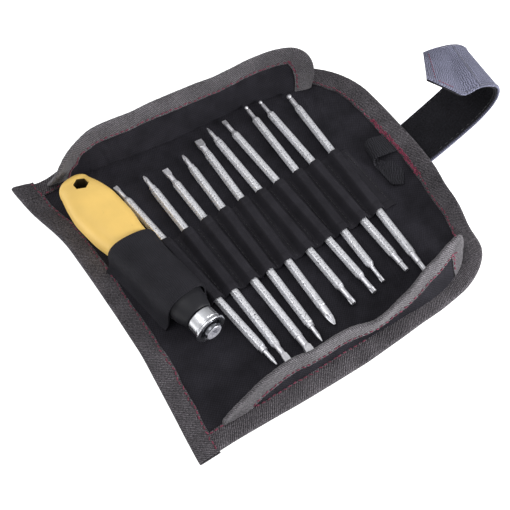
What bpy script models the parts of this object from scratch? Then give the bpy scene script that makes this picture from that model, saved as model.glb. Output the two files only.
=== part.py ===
"""Precision screwdriver set in an opened roll-up pouch.

Metres, +Z up.  Origin: centre of the panel's flat underside.
+X runs toward the closing strap, +Y toward the tall top flap.
The numbers below are millimetres and become metres in P().
"""
import math

import bmesh
import bpy
from mathutils import Matrix, Vector

for stale in list(bpy.data.objects):
    bpy.data.objects.remove(stale, do_unlink=True)

MM = 0.001

# ---------------------------------------------------------------- dimensions
# panel
X_LEFT, X_RIGHT = -90.5, 89.5          # shell edges
Y_HALF = 89.0                          # shell half depth
CORNER_R = 50.0                        # right-hand corner radius
BEND_X = 60.0                          # the end starts to curl up here
BEND_RISE = 8.0                       # rise of the right-hand edge
SHELL_T = 1.0
LINING_Z0, LINING_Z1 = 1.3, 2.2
GAP = 0.3
FLOOR_Z = LINING_Z1 + GAP              # underside of whatever lies on the lining
BIND_T = 0.8
BIND_W = 9.7

# blades
BLADE_LEN = 130.0
HEX_AF = 4.0
BLADE_Z = FLOOR_Z + HEX_AF / 2.0
BAND_Y0, BAND_Y1 = -25.0, 18.0
BAND_T = 0.8

# handle
HANDLE_Y = 45.0                        # a point on the handle's axis
HANDLE_X = -70.3
HANDLE_SLOPE = -0.138
HANDLE_Z = 12.0
HANDLE_END_Y = 71.0
BODY_LEN = 75.0
NOSE_END = 103.4
HOLE_AF = 6.6
HOLE_S = 10.0
HOLE_OFF = 1.4
LOOP_S0, LOOP_S1 = 51.5, 88.9
LOOP_T = 1.0

# flaps
TOP_ROOT_Y = 73.0
TOP_ANGLE = 70.0                       # from the ground, leaning outward
TOP_H = 25.0
TOP_X0, TOP_X1 = -76.0, 71.0
BOT_ROOT_Y = -79.0
BOT_ANGLE = 62.0                       # from the ground, leaning over the tips
BOT_H, BOT_H_END = 13.5, 24.0
BOT_X0, BOT_X1 = -76.0, 66.0
FLAP_Z = 3.7
FLAP_T = 1.2
FLAP_START = 1.1
SLANT_X, SLANT = 54.0, 0.8             # the flaps' right ends lean out past their seams

# strap
STRAP_Y0, STRAP_Y1 = -14.5, 13.5
STRAP_PIVOT = (89.8, 9.4)
STRAP_T = 1.2


# ---------------------------------------------------------------- helpers
def P(x, y, z):
    return Vector((x * MM, y * MM, z * MM))


def material(name, rgb, rough, metal=0.0):
    m = bpy.data.materials.new(name)
    m.use_nodes = True
    b = m.node_tree.nodes["Principled BSDF"]
    b.inputs["Base Color"].default_value = (rgb[0], rgb[1], rgb[2], 1.0)
    b.inputs["Roughness"].default_value = rough
    b.inputs["Metallic"].default_value = metal
    return m


MAT = {
    "shell": material("shell_cloth", (0.022, 0.021, 0.025), 0.9),
    "lining": material("lining_cloth", (0.014, 0.013, 0.017), 0.85),
    "binding": material("binding_tape", (0.11, 0.10, 0.11), 0.9),
    "webbing": material("strap_webbing", (0.17, 0.18, 0.23), 0.85),
    "hook": material("hook_tape", (0.012, 0.012, 0.014), 0.8),
    "yellow": material("handle_yellow", (0.85, 0.58, 0.12), 0.4),
    "black": material("handle_black", (0.02, 0.02, 0.022), 0.45),
    "chrome": material("chuck_chrome", (0.75, 0.76, 0.78), 0.15, 1.0),
    "steel": material("blade_steel", (0.55, 0.56, 0.60), 0.35, 1.0),
}


def finish(name, bm, mat, smooth=False, origin=None):
    bmesh.ops.remove_doubles(bm, verts=bm.verts, dist=1e-7)
    bmesh.ops.recalc_face_normals(bm, faces=bm.faces)
    if origin is not None:
        bmesh.ops.translate(bm, verts=bm.verts, vec=-origin)
    me = bpy.data.meshes.new(name)
    bm.to_mesh(me)
    bm.free()
    if me.polygons and smooth:
        for p in me.polygons:
            p.use_smooth = True
    ob = bpy.data.objects.new(name, me)
    if origin is not None:
        ob.location = origin
    bpy.context.scene.collection.objects.link(ob)
    me.materials.append(MAT[mat])
    return ob


def loft(name, sections, mat, closed=False, smooth=False, origin=None):
    """Closed body through rings of equal point count."""
    bm = bmesh.new()
    rings = [[bm.verts.new(p) for p in s] for s in sections]
    n = len(rings[0])
    count = len(rings)
    last = count if closed else count - 1
    for i in range(last):
        a, b = rings[i], rings[(i + 1) % count]
        for j in range(n):
            k = (j + 1) % n
            bm.faces.new((a[j], a[k], b[k], b[j]))
    if not closed:
        bm.faces.new(list(reversed(rings[0])))
        bm.faces.new(rings[-1])
    return finish(name, bm, mat, smooth, origin)


def lerp(a, b, t):
    return a + (b - a) * t


def table(pairs, s):
    """Smooth interpolation through driving stations."""
    if s <= pairs[0][0]:
        return pairs[0][1]
    for (s0, v0), (s1, v1) in zip(pairs, pairs[1:]):
        if s <= s1:
            t = (s - s0) / (s1 - s0)
            return lerp(v0, v1, t * t * (3.0 - 2.0 * t))
    return pairs[-1][1]


def lift(x):
    if x <= BEND_X:
        return 0.0
    t = (x - BEND_X) / (X_RIGHT - BEND_X)
    return BEND_RISE * t * t


def sheet_half(x):
    """Half depth of the panel at x, inside the rounded end."""
    cx = X_RIGHT - CORNER_R
    if x <= cx:
        return Y_HALF
    d = min(1.0, (x - cx) / CORNER_R)
    return Y_HALF - CORNER_R + CORNER_R * math.sqrt(max(0.0, 1.0 - d * d))


ARC = [math.radians(a) for a in (90, 78, 66, 54, 42, 30, 18, 8, 0)]
ARC_X = [X_RIGHT - CORNER_R + CORNER_R * math.cos(a) for a in ARC]


# ---------------------------------------------------------------- panel
def panel_sheet(name, z0, z1, mat):
    xs = [X_LEFT, -60.0, -30.0, 0.0, 20.0] + ARC_X
    sections = []
    for x in xs:
        h = sheet_half(x)
        f = lift(x)
        sections.append([P(x, -h, z0 + f), P(x, h, z0 + f),
                         P(x, h, z1 + f), P(x, -h, z1 + f)])
    return loft(name, sections, mat)


panel_sheet("outer_shell", 0.0, SHELL_T, "shell")
panel_sheet("inner_lining", LINING_Z0, LINING_Z1, "lining")


def binding_profile():
    """Offsets (outward from the sheet edge, height) of the J-shaped tape."""
    top = FLOOR_Z + BIND_T
    return [(-BIND_W, FLOOR_Z), (-BIND_W / 2, FLOOR_Z), (GAP, FLOOR_Z), (GAP, 0.0),
            (GAP + BIND_T, 0.0), (GAP + BIND_T, top - 0.5), (GAP + BIND_T - 0.5, top),
            (-BIND_W / 2, top), (-BIND_W, top)]


def binding(name, path):
    """path: list of (x, y, nx, ny) with the outward direction."""
    sections = []
    for x, y, nx, ny in path:
        ring = []
        for n, z in binding_profile():
            px, py = x + nx * n, y + ny * n
            ring.append(P(px, py, z + lift(px)))
        sections.append(ring)
    return loft(name, sections, "binding")


TOP_EDGE_X0 = X_LEFT + BIND_W + GAP
CORNER_CX = X_RIGHT - CORNER_R
steps = [TOP_EDGE_X0, -40.0, 0.0, CORNER_CX - GAP]
binding("binding_top", [(x, Y_HALF, 0.0, 1.0) for x in steps])
binding("binding_bottom", [(x, -Y_HALF, 0.0, -1.0) for x in steps])
Y_END = Y_HALF + GAP + BIND_T
binding("binding_left", [(X_LEFT, y, -1.0, 0.0)
                         for y in (-Y_END, -45.0, 0.0, 45.0, Y_END)])
right = []
for a in ARC:
    right.append((CORNER_CX + CORNER_R * math.cos(a),
                  Y_HALF - CORNER_R + CORNER_R * math.sin(a),
                  math.cos(a), math.sin(a)))
for a in reversed(ARC):
    right.append((CORNER_CX + CORNER_R * math.cos(a),
                  -(Y_HALF - CORNER_R) - CORNER_R * math.sin(a),
                  math.cos(a), -math.sin(a)))
binding("binding_right", right)

# ---------------------------------------------------------------- blades
# (x, y) of the middle, and x drift per mm of y toward the top flap
BLADES = [
    (-47.6, -3.5, -0.098),
    (-37.1, -5.6, -0.020),
    (-25.8, -7.9, -0.018),
    (-15.8, -4.6, 0.020),
    (-4.8, -0.5, 0.034),
    (6.5, 3.9, -0.009),
    (17.5, 3.5, -0.024),
    (28.7, 6.1, 0.040),
    (39.6, 5.0, 0.002),
    (51.0, 0.3, 0.064),
]

# tip stations: distance from the shoulder, radius, shape
# shape r = round, (w, t) = flat blade half width and half thickness
TIPS = {
    "slot_s": [(0.3, 1.7, 0), (1.8, 1.15, 0), (7.2, 1.15, 0), (8.6, 1.15, 0.62), (11.0, 1.2, 0.24)],
    "slot_m": [(0.3, 1.75, 0), (1.6, 1.35, 0), (5.6, 1.35, 0), (8.0, 1.6, 0.66), (11.0, 1.6, 0.30)],
    "slot_l": [(0.3, 1.9, 0), (1.4, 1.75, 0), (5.0, 1.75, 0), (8.0, 1.95, 0.75), (11.0, 1.95, 0.36)],
    "needle": [(0.3, 1.7, 0), (2.0, 1.7, 0), (2.3, 1.05, 0), (7.6, 1.0, 0), (9.4, 0.62, 0), (11.0, 0.28, 0)],
    "cross_s": [(0.3, 1.75, 0), (2.2, 1.75, 0), (2.5, 1.25, 0), (7.4, 1.2, 0), (9.4, 0.82, 0), (11.0, 0.3, 0)],
    "cross_l": [(0.3, 1.95, 0), (2.0, 1.95, 0), (6.6, 1.9, 0), (9.2, 1.3, 0), (11.0, 0.45, 0)],
    "star_s": [(0.3, 1.7, 0), (1.6, 1.0, 0), (8.2, 1.0, 0), (9.0, 1.1, 0), (11.0, 1.1, 0)],
    "star_m": [(0.3, 1.8, 0), (1.6, 1.3, 0), (7.4, 1.3, 0), (8.4, 1.5, 0), (11.0, 1.5, 0)],
    "hex": [(0.3, 1.8, 0), (1.4, 1.5, 0), (6.0, 1.5, 0), (6.3, 1.25, 0), (11.0, 1.25, 0)],
    "ball_s": [(0.3, 1.7, 0), (1.4, 1.05, 0), (7.6, 1.0, 0), (8.4, 0.72, 0), (9.3, 1.05, 0),
               (10.2, 1.0, 0), (11.0, 0.5, 0)],
    "ball_l": [(0.3, 1.85, 0), (1.4, 1.4, 0), (7.2, 1.35, 0), (8.2, 0.95, 0), (9.3, 1.4, 0),
               (10.3, 1.25, 0), (11.0, 0.6, 0)],
}
TIP_LEN = 11.0
PAIRS = [
    ("slot_s", "needle"), ("cross_s", "slot_m"), ("slot_m", "slot_l"), ("cross_s", "needle"),
    ("slot_l", "cross_l"), ("needle", "star_m"), ("slot_s", "star_m"), ("ball_s", "star_s"),
    ("ball_s", "hex"), ("ball_l", "hex"),
]
RING = 12


def ring_points(radius, flat):
    """Twelve points in the blade's cross plane: round, or flattened in height."""
    pts = []
    for j in range(RING):
        a = 2.0 * math.pi * j / RING
        if flat:
            c, s = math.cos(a), math.sin(a)
            m = max(abs(c), abs(s))
            pts.append((radius * c / m, flat * s / m))
        else:
            pts.append((radius * math.cos(a), radius * math.sin(a)))
    return pts


def hex_points():
    """Hexagon with a corner on either side and a flat below."""
    pts = []
    rc = HEX_AF / math.sqrt(3.0)
    for j in range(RING):
        a = 2.0 * math.pi * j / RING
        r = rc if j % 2 == 0 else HEX_AF / 2.0
        pts.append((r * math.cos(a), r * math.sin(a)))
    return pts


def blade(index, cx, cy, drift, top, bottom):
    length = math.hypot(1.0, drift)
    ax = Vector((drift / length, 1.0 / length, 0.0))
    side = Vector((ax.y, -ax.x, 0.0))
    up = Vector((0.0, 0.0, 1.0))
    centre = P(cx, cy, BLADE_Z)
    half = BLADE_LEN / 2.0
    shank = half - TIP_LEN

    def ring(pos, pts):
        return [centre + (ax * pos + side * u + up * v) * MM for u, v in pts]

    sections = []
    for d, r, flat in reversed(TIPS[bottom]):
        sections.append(ring(-shank - d, ring_points(r, flat)))
    hexagon = hex_points()
    small = [(u * 0.86, v * 0.86) for u, v in hexagon]
    sections.append(ring(-shank, small))
    sections.append(ring(-shank + 0.6, hexagon))
    sections.append(ring(shank - 0.6, hexagon))
    sections.append(ring(shank, small))
    for d, r, flat in TIPS[top]:
        sections.append(ring(shank + d, ring_points(r, flat)))
    return loft("blade_%02d" % index, sections, "steel", origin=centre)


for i, ((cx, cy, drift), (top, bottom)) in enumerate(zip(BLADES, PAIRS), 1):
    blade(i, cx, cy, drift, top, bottom)

# ---------------------------------------------------------------- pocket band
INNER = HEX_AF / math.sqrt(3.0) + 0.4
OUTER = INNER + BAND_T
CROWN = BLADE_Z + HEX_AF / 2.0 + 0.35


def band_section(y):
    low, high = FLOOR_Z, FLOOR_Z + BAND_T
    over, under = [], []
    for cx, cy, drift in BLADES:
        x = cx + drift * (y - cy)
        over += [(x - OUTER, high), (x - OUTER, BLADE_Z + 0.9), (x - 1.9, CROWN + BAND_T),
                 (x + 1.9, CROWN + BAND_T), (x + OUTER, BLADE_Z + 0.9), (x + OUTER, high)]
        under += [(x - INNER, low), (x - INNER, BLADE_Z + 0.5), (x - 1.5, CROWN),
                  (x + 1.5, CROWN), (x + INNER, BLADE_Z + 0.5), (x + INNER, low)]
    over[0] = (over[0][0], low)
    end = 60.0
    poly = over + [(end, high), (end, low)] + list(reversed(under))
    return [P(x, y, z) for x, z in poly]


loft("pocket_band", [band_section(y) for y in (BAND_Y0, (BAND_Y0 + BAND_Y1) / 2, BAND_Y1)], "lining")

# ---------------------------------------------------------------- handle
hl = math.hypot(1.0, HANDLE_SLOPE)
H_AX = Vector((-HANDLE_SLOPE / hl, -1.0 / hl, 0.0))     # from the round end to the chuck
H_SIDE = Vector((-H_AX.y, H_AX.x, 0.0))                 # toward the blades
H_START = P(HANDLE_X + HANDLE_SLOPE * (HANDLE_END_Y - HANDLE_Y), HANDLE_END_Y, HANDLE_Z)
UP = Vector((0.0, 0.0, 1.0))

HALF_W = [(0.0, 1.2), (1.0, 4.6), (3.0, 7.0), (6.0, 8.9), (14.0, 10.9), (24.0, 12.35),
          (36.0, 12.2), (49.5, 10.3), (60.0, 9.9), (75.0, 10.0)]
HALF_H = [(0.0, 0.8), (1.0, 3.2), (3.0, 5.2), (6.0, 6.9), (14.0, 8.8), (24.0, 9.5),
          (36.0, 9.5), (49.5, 9.2), (60.0, 9.1), (75.0, 9.3)]


def h_point(s, u, v):
    return H_START + (H_AX * s + H_SIDE * u + UP * v) * MM


def oval(s, a, b, n=28, power=2.35):
    pts = []
    for j in range(n):
        t = 2.0 * math.pi * (j + 0.5) / n
        c, d = math.cos(t), math.sin(t)
        pts.append(h_point(s, a * math.copysign(abs(c) ** (2.0 / power), c),
                           b * math.copysign(abs(d) ** (2.0 / power), d)))
    return pts


stations = [0.0, 1.0, 3.0, 6.0, 9.0, 14.0, 19.0, 24.0, 30.0, 36.0, 42.0, 49.5, 60.0, BODY_LEN]
body = loft("handle_body", [oval(s, table(HALF_W, s), table(HALF_H, s)) for s in stations],
            "yellow", smooth=True)
cutter = loft("hole_cutter",
              [[h_point(HOLE_S + HOLE_AF / math.sqrt(3.0) * math.cos(a),
                        HOLE_OFF + HOLE_AF / math.sqrt(3.0) * math.sin(a), z)
                for a in [math.radians(60 * k) for k in range(6)]] for z in (-14.0, 14.0)],
              "black")
cutter.hide_render = True
cutter.display_type = "WIRE"
cut = body.modifiers.new("hanging_hole", "BOOLEAN")
cut.operation = "DIFFERENCE"
cut.solver = "EXACT"
cut.object = cutter

NOSE = [(BODY_LEN + 0.3, 10.0, 9.3), (80.0, 10.3, 9.45), (87.0, 10.4, 9.5), (93.0, 9.9, 9.3),
        (98.0, 8.9, 8.7), (101.5, 7.8, 7.8), (NOSE_END, 7.0, 7.0)]
loft("handle_nose", [oval(s, a, b, power=lerp(2.3, 2.0, i / 6.0))
                     for i, (s, a, b) in enumerate(NOSE)], "black", smooth=True)


def turned(name, profile, mat, n=28, bore_hex=0.0):
    """Ring body: profile runs outside then back inside, as (s, radius)."""
    sections = []
    for j in range(n):
        a = 2.0 * math.pi * (j + 0.5) / n
        ring = []
        for s, r in profile:
            if r < 0.0:
                step = math.pi / 3.0
                local = (a + step / 2.0) % step - step / 2.0
                r = (bore_hex / 2.0) / math.cos(local)
            ring.append(h_point(s, r * math.cos(a), r * math.sin(a)))
        sections.append(ring)
    return loft(name, sections, mat, closed=True, smooth=True)


turned("chuck_collar", [(103.7, 6.4), (104.4, 7.0), (105.2, 7.0), (105.5, 6.7), (106.1, 6.7),
                        (106.4, 7.0), (110.6, 7.2), (110.6, 6.3), (108.4, 6.3), (108.4, 3.6),
                        (103.7, 3.6)], "chrome")
turned("chuck_flange", [(110.9, 7.6), (111.2, 8.0), (111.9, 8.0), (112.2, 7.6), (112.2, 5.9),
                        (110.9, 5.9)], "chrome")
turned("chuck_face", [(108.7, 6.0), (110.3, 6.0), (110.3, 3.6), (108.7, 3.6)], "black")
turned("chuck_socket", [(103.9, 3.3), (110.6, 3.3), (110.6, 4.4), (114.1, 4.4), (114.5, 4.0), (114.5, -1.0),
                        (103.9, -1.0)],
       "chrome", n=24, bore_hex=HEX_AF + 0.3)

# ---------------------------------------------------------------- handle loop
LOOP_W = [(51.5, 11.9), (60.0, 10.9), (70.0, 10.7), (88.9, 10.9)]


def loop_section(s):
    w = table(LOOP_W, s)
    top = 9.95
    outer, inner = [], []
    for k in range(13):
        a = math.pi * k / 12.0
        c, d = math.cos(a), math.sin(a)
        e = 0.8
        cu, cv = math.copysign(abs(c) ** e, c), abs(d) ** e
        inner.append((w * cu, top * cv))
        outer.append(((w + LOOP_T) * cu, (top + LOOP_T) * cv))
    foot = FLOOR_Z - HANDLE_Z
    poly = [(w + LOOP_T, foot)] + outer + [(-(w + LOOP_T), foot), (-w, foot)] \
        + list(reversed(inner)) + [(w, foot)]
    return [h_point(s, u, v) for u, v in poly]


loft("handle_loop", [loop_section(s) for s in (51.5, 55.0, 60.0, 70.0, 80.0, 88.9)], "lining")


# ---------------------------------------------------------------- flaps
def flap_frame(root_y, degrees):
    t = math.radians(degrees)
    along = Vector((0.0, math.cos(t), math.sin(t)))
    normal = Vector((0.0, -math.sin(t), math.cos(t)))
    root = P(0.0, root_y, FLAP_Z)

    def at(x, d, n):
        return root + Vector((x * MM, 0.0, 0.0)) + (along * d + normal * n) * MM

    return at


def seam(x):
    """Lower edge of a leaf: on its seam, then slanting up past the seam's end."""
    return FLAP_START + max(0.0, x - SLANT_X) * SLANT


def flap(prefix, root_y, degrees, x0, x1, height):
    """A cloth leaf and the tape folded over its three free sides."""
    at = flap_frame(root_y, degrees)
    origin = P(0.0, root_y, FLAP_Z)
    half = FLAP_T / 2.0
    n = 30
    rim = []                                   # outer silhouette of the leaf (x, d)
    for k in range(n + 1):
        f = k / n
        x = lerp(x0, x1, f)
        rim.append((x, height(x)))
    leaf = []
    for x, d in rim:
        low = seam(x)
        d = max(low + 0.6, d - 1.3)
        leaf.append([at(x, low, -half), at(x, d, -half), at(x, d, half), at(x, low, half)])
    loft(prefix, leaf, "lining", origin=origin)
    tape = []
    m = half + GAP
    w = m + BIND_T
    for k, (x, d) in enumerate(rim):
        inner = max(seam(x) + 0.6, d - BIND_W)
        crown = max(seam(x) + 0.6, d - 1.3) + GAP
        top = crown + 1.0
        base = min(inner, crown - 0.4)
        tape.append([at(x, base, -w), at(x, top, -w), at(x, top, w), at(x, base, w),
                     at(x, base, m), at(x, crown, m), at(x, crown, -m), at(x, base, -m)])
    loft(prefix + "_binding", tape, "binding", origin=origin)


def rounded(x, x0, x1, r0, r1, h, foot):
    """Height of a leaf with rounded free corners."""
    d = h
    if x < x0 + r0:
        t = 1.0 - (x - x0) / r0
        d = foot + (h - foot) * math.sqrt(max(0.0, 1.0 - t * t))
    if x > x1 - r1:
        t = 1.0 - (x1 - x) / r1
        d = min(d, foot + (h - foot) * math.sqrt(max(0.0, 1.0 - t * t)))
    return max(d, seam(x) + 2.6)


def top_height(x):
    return rounded(x, TOP_X0, TOP_X1, 20.0, 9.0, TOP_H, 6.0)


def bottom_height(x):
    t = min(1.0, max(0.0, (x - 22.0) / 34.0))
    h = lerp(BOT_H, BOT_H_END, t * t * (3.0 - 2.0 * t))
    return rounded(x, BOT_X0, BOT_X1, 16.0, 6.0, h, 4.0)


flap("top_flap", TOP_ROOT_Y, TOP_ANGLE, TOP_X0, TOP_X1, top_height)
flap("bottom_flap", BOT_ROOT_Y, BOT_ANGLE, BOT_X0, BOT_X1, bottom_height)

# ---------------------------------------------------------------- strap
# centre line of the curl in the X-Z plane: run, turn and return
RUN_ANGLE, RUN_LEN = math.radians(23.0), 33.5
TURN_R = 10.5
RETURN_ANGLE, RETURN_LEN = math.radians(155.0), 34.0


def strap_line():
    """Points and headings of the strap's centre line, evenly stepped."""
    out = []
    x, z = STRAP_PIVOT[0] + 2.2, STRAP_PIVOT[1] + 0.7
    heading = RUN_ANGLE * 0.7
    for k in range(7):
        out.append((x, z, heading))
        heading += (RUN_ANGLE * 1.5 - heading) * 0.18
        x += RUN_LEN / 6.0 * math.cos(heading)
        z += RUN_LEN / 6.0 * math.sin(heading)
    turn = 10
    start = heading
    for k in range(1, turn + 1):
        heading = lerp(start, RETURN_ANGLE, k / turn)
        step = TURN_R * (RETURN_ANGLE - start) / turn
        x += step * math.cos(heading)
        z += step * math.sin(heading)
        out.append((x, z, heading))
    for k in range(1, 6):
        x += RETURN_LEN / 5.0 * math.cos(heading)
        z += RETURN_LEN / 5.0 * math.sin(heading)
        out.append((x, z, heading))
    return out


def ribbon(name, line, n0, n1, mat, y0, y1, origin):
    sections = []
    for x, z, h in line:
        nx, nz = -math.sin(h), math.cos(h)
        a = (x + nx * n0, z + nz * n0)
        b = (x + nx * n1, z + nz * n1)
        sections.append([P(a[0], y0, a[1]), P(a[0], y1, a[1]), P(b[0], y1, b[1]), P(b[0], y0, b[1])])
    return loft(name, sections, mat, origin=origin)


line = strap_line()
strap_origin = P(STRAP_PIVOT[0], 0.0, STRAP_PIVOT[1])
ribbon("strap_hook_tape", line[1:], 0.15, 0.15 + STRAP_T, "hook", STRAP_Y0 + 0.8, STRAP_Y1 - 0.8, strap_origin)
ribbon("strap_webbing", line, -0.15 - STRAP_T, -0.15, "webbing", STRAP_Y0, STRAP_Y1, strap_origin)

# ---------------------------------------------------------------- webbing loop
TAB_X0, TAB_X1, TAB_Y, TAB_W, TAB_T = 64.5, 78.6, -1.5, 26.0, 1.1


def tab_rings():
    """Teardrop loop standing on the lining, in the X-Z plane."""
    outer, inner = [], []
    n = 20
    for k in range(n):
        a = 2.0 * math.pi * k / n
        reach = (1.0 + math.cos(a)) / 2.0
        x = lerp(TAB_X0 + TAB_T, TAB_X1 - TAB_T, reach)
        swell = 1.4 + 2.3 * math.sin(math.pi * (1.0 - reach) * 0.62 + 0.15)
        z = swell * math.sin(a)
        outer.append((x + TAB_T * math.cos(a), z + TAB_T * math.sin(a)))
        inner.append((x, z))
    return outer, inner


outer, inner = tab_rings()
base_z = max(0.0, -min(z - lift(0.0) for x, z in outer))


def tab_height(x, z):
    return FLOOR_Z + base_z + z + lift(min(x + 2.0, X_RIGHT)) + 0.25


bm_sections = []
for (xo, zo), (xi, zi) in zip(outer, inner):
    y0, y1 = TAB_Y - TAB_W / 2.0, TAB_Y + TAB_W / 2.0
    bm_sections.append([P(xo, y0, tab_height(xo, zo)), P(xo, y1, tab_height(xo, zo)),
                        P(xi, y1, tab_height(xi, zi)), P(xi, y0, tab_height(xi, zi))])
loft("webbing_loop", bm_sections, "hook", closed=True)
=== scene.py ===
import math

import bmesh
import bpy
import numpy as np
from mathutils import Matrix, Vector


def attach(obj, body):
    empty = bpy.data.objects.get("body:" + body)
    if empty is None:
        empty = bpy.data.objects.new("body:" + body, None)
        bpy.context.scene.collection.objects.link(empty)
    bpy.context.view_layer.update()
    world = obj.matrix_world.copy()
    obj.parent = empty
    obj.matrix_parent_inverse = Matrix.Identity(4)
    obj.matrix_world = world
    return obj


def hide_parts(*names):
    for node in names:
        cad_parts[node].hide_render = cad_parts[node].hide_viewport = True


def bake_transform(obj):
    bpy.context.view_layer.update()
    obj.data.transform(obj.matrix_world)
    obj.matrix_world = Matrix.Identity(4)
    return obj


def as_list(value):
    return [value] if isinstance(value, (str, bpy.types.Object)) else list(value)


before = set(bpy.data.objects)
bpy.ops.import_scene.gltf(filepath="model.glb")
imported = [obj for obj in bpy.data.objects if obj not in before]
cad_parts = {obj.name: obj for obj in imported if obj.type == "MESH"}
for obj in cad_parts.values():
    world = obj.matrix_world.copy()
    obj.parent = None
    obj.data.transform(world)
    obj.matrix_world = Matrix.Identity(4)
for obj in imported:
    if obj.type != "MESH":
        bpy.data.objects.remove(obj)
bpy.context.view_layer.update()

MM = 0.001
rng = np.random.default_rng(7)


# ------------------------------------------------------------------ numbers
def interp(tab, x):
    a = np.array(tab, float)
    return np.interp(x, a[:, 0], a[:, 1])


def smooth_tab(tab, x, w=3.0):
    """Table value averaged over a window, so that the corners between stations are rounded."""
    x = np.asarray(x, float)
    return sum(interp(tab, x + k * w) * g for k, g in
               ((-2, .1), (-1, .2), (0, .4), (1, .2), (2, .1)))


def sstep(a, b, x):
    t = np.clip((np.asarray(x, float) - a) / (b - a), 0, 1)
    return t * t * (3 - 2 * t)


def gauss(x, s):
    return np.exp(-(np.asarray(x, float) / s) ** 2)


def wave(x, y, k=0):
    """Slow uneven rise and fall, between about -1 and 1."""
    x, y = np.asarray(x, float), np.asarray(y, float)
    return (0.42 * np.sin(x / 11.0 + 1.7 * np.sin(y / 23.0 + k) + k)
            + 0.33 * np.sin(y / 8.3 - x / 31.0 + 2.1 * k)
            + 0.25 * np.sin((x + y) / 6.1 + 1.3 * k + 0.8 * np.sin(x / 17.0)))


# ------------------------------------------------------------------ meshes
def quads(nu, nv, wrap=False, off=0, flip=False):
    i = np.arange(nu - 1)[:, None]
    j = np.arange(nv if wrap else nv - 1)[None, :]
    k = (j + 1) % nv
    f = np.stack([i * nv + j, i * nv + k, (i + 1) * nv + k, (i + 1) * nv + j], -1).reshape(-1, 4) + off
    return (f[:, ::-1] if flip else f).tolist()


def build(name, verts, faces, fab=None, angle=40.0, mat=None):
    me = bpy.data.meshes.new(name)
    me.from_pydata((np.asarray(verts, float) * MM).tolist(), [], faces)
    if fab is not None:
        f = np.zeros((len(verts), 3), np.float32)
        f[:, :fab.shape[-1]] = fab
        at = me.attributes.new("fab", "FLOAT_VECTOR", "POINT")
        at.data.foreach_set("vector", f.ravel())
    bm = bmesh.new()
    bm.from_mesh(me)
    bmesh.ops.recalc_face_normals(bm, faces=bm.faces)
    bm.to_mesh(me)
    bm.free()
    me.polygons.foreach_set("use_smooth", np.ones(len(me.polygons), bool))
    me.set_sharp_from_angle(angle=math.radians(angle))
    ob = bpy.data.objects.new(name, me)
    bpy.context.scene.collection.objects.link(ob)
    if mat is not None:
        me.materials.append(mat)
    return ob


def rings(name, R, fab=None, caps=True, closed=False, angle=40.0, mat=None):
    """Body through closed rings R[u, v]."""
    nu, nv = R.shape[:2]
    V = R.reshape(-1, 3)
    if closed:
        f = quads(nu + 1, nv, True)
        n = nu * nv
        f = [[q % n for q in face] for face in f]
    else:
        f = quads(nu, nv, True)
        if caps:
            f.append(list(range(nv))[::-1])
            f.append(list(range((nu - 1) * nv, nu * nv)))
    return build(name, V, f, None if fab is None else fab.reshape(-1, fab.shape[-1]), angle, mat)


def normals(G):
    a = np.gradient(G, axis=0)
    b = np.gradient(G, axis=1)
    n = np.cross(a, b)
    return n / np.maximum(np.linalg.norm(n, axis=-1, keepdims=True), 1e-9)


def cloth_mesh(name, G, t, fab, mat=None, angle=50.0, N=None):
    """Closed thin sheet round the middle surface G[u, v]. t is its thickness, one number or one a point."""
    nu, nv = G.shape[:2]
    if N is None:
        N = normals(G)
    t = np.broadcast_to(np.asarray(t, float), (nu, nv))[..., None]
    top, low = G + N * t / 2, G - N * t / 2
    n = nu * nv
    V = np.concatenate([top.reshape(-1, 3), low.reshape(-1, 3)])
    f = quads(nu, nv) + quads(nu, nv, off=n, flip=True)
    idx = np.arange(n).reshape(nu, nv)
    edge = np.concatenate([idx[0, :-1], idx[:-1, -1], idx[-1, :0:-1], idx[:0:-1, 0]])
    nxt = np.roll(edge, -1)
    f += np.stack([edge, edge + n, nxt + n, nxt], -1).tolist()
    F = np.concatenate([fab.reshape(-1, fab.shape[-1])] * 2)
    return build(name, V, f, F, angle, mat)


def stitches(name, C, T, N, half=1.05, r=0.33, mat=None):
    """A row of thread stitches, each a small hump lying along T on a surface whose normal is N."""
    C, T, N = (np.asarray(q, float) for q in (C, T, N))
    T = T / np.linalg.norm(T, axis=1, keepdims=True)
    B = np.cross(N, T)
    B /= np.linalg.norm(B, axis=1, keepdims=True)
    prof = [(-1.0, 0.35, -0.25), (-0.72, 0.85, 0.0), (-0.25, 1.0, 0.12), (0.25, 1.0, 0.12), (0.72, 0.85, 0.0), (1.0, 0.35, -0.25)]
    m = 8
    ang = np.arange(m) * 2 * np.pi / m
    V, F, U = [], [], []
    for i in range(len(C)):
        off = i * m * len(prof)
        for p, w, h in prof:
            q = (C[i] + T[i] * half * p + N[i] * h)[None] + r * w * (np.cos(ang)[:, None] * B[i] + 0.8 * np.sin(ang)[:, None] * N[i])
            V.append(q)
            U.append(np.stack([np.full(m, p * half + 3.1 * i), ang * r, np.full(m, float(i))], -1))
        F += quads(len(prof), m, True, off)
        F.append(list(range(off, off + m))[::-1])
        F.append(list(range(off + m * (len(prof) - 1), off + m * len(prof))))
    return build(name, np.concatenate(V), F, np.concatenate(U), 60, mat)


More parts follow.
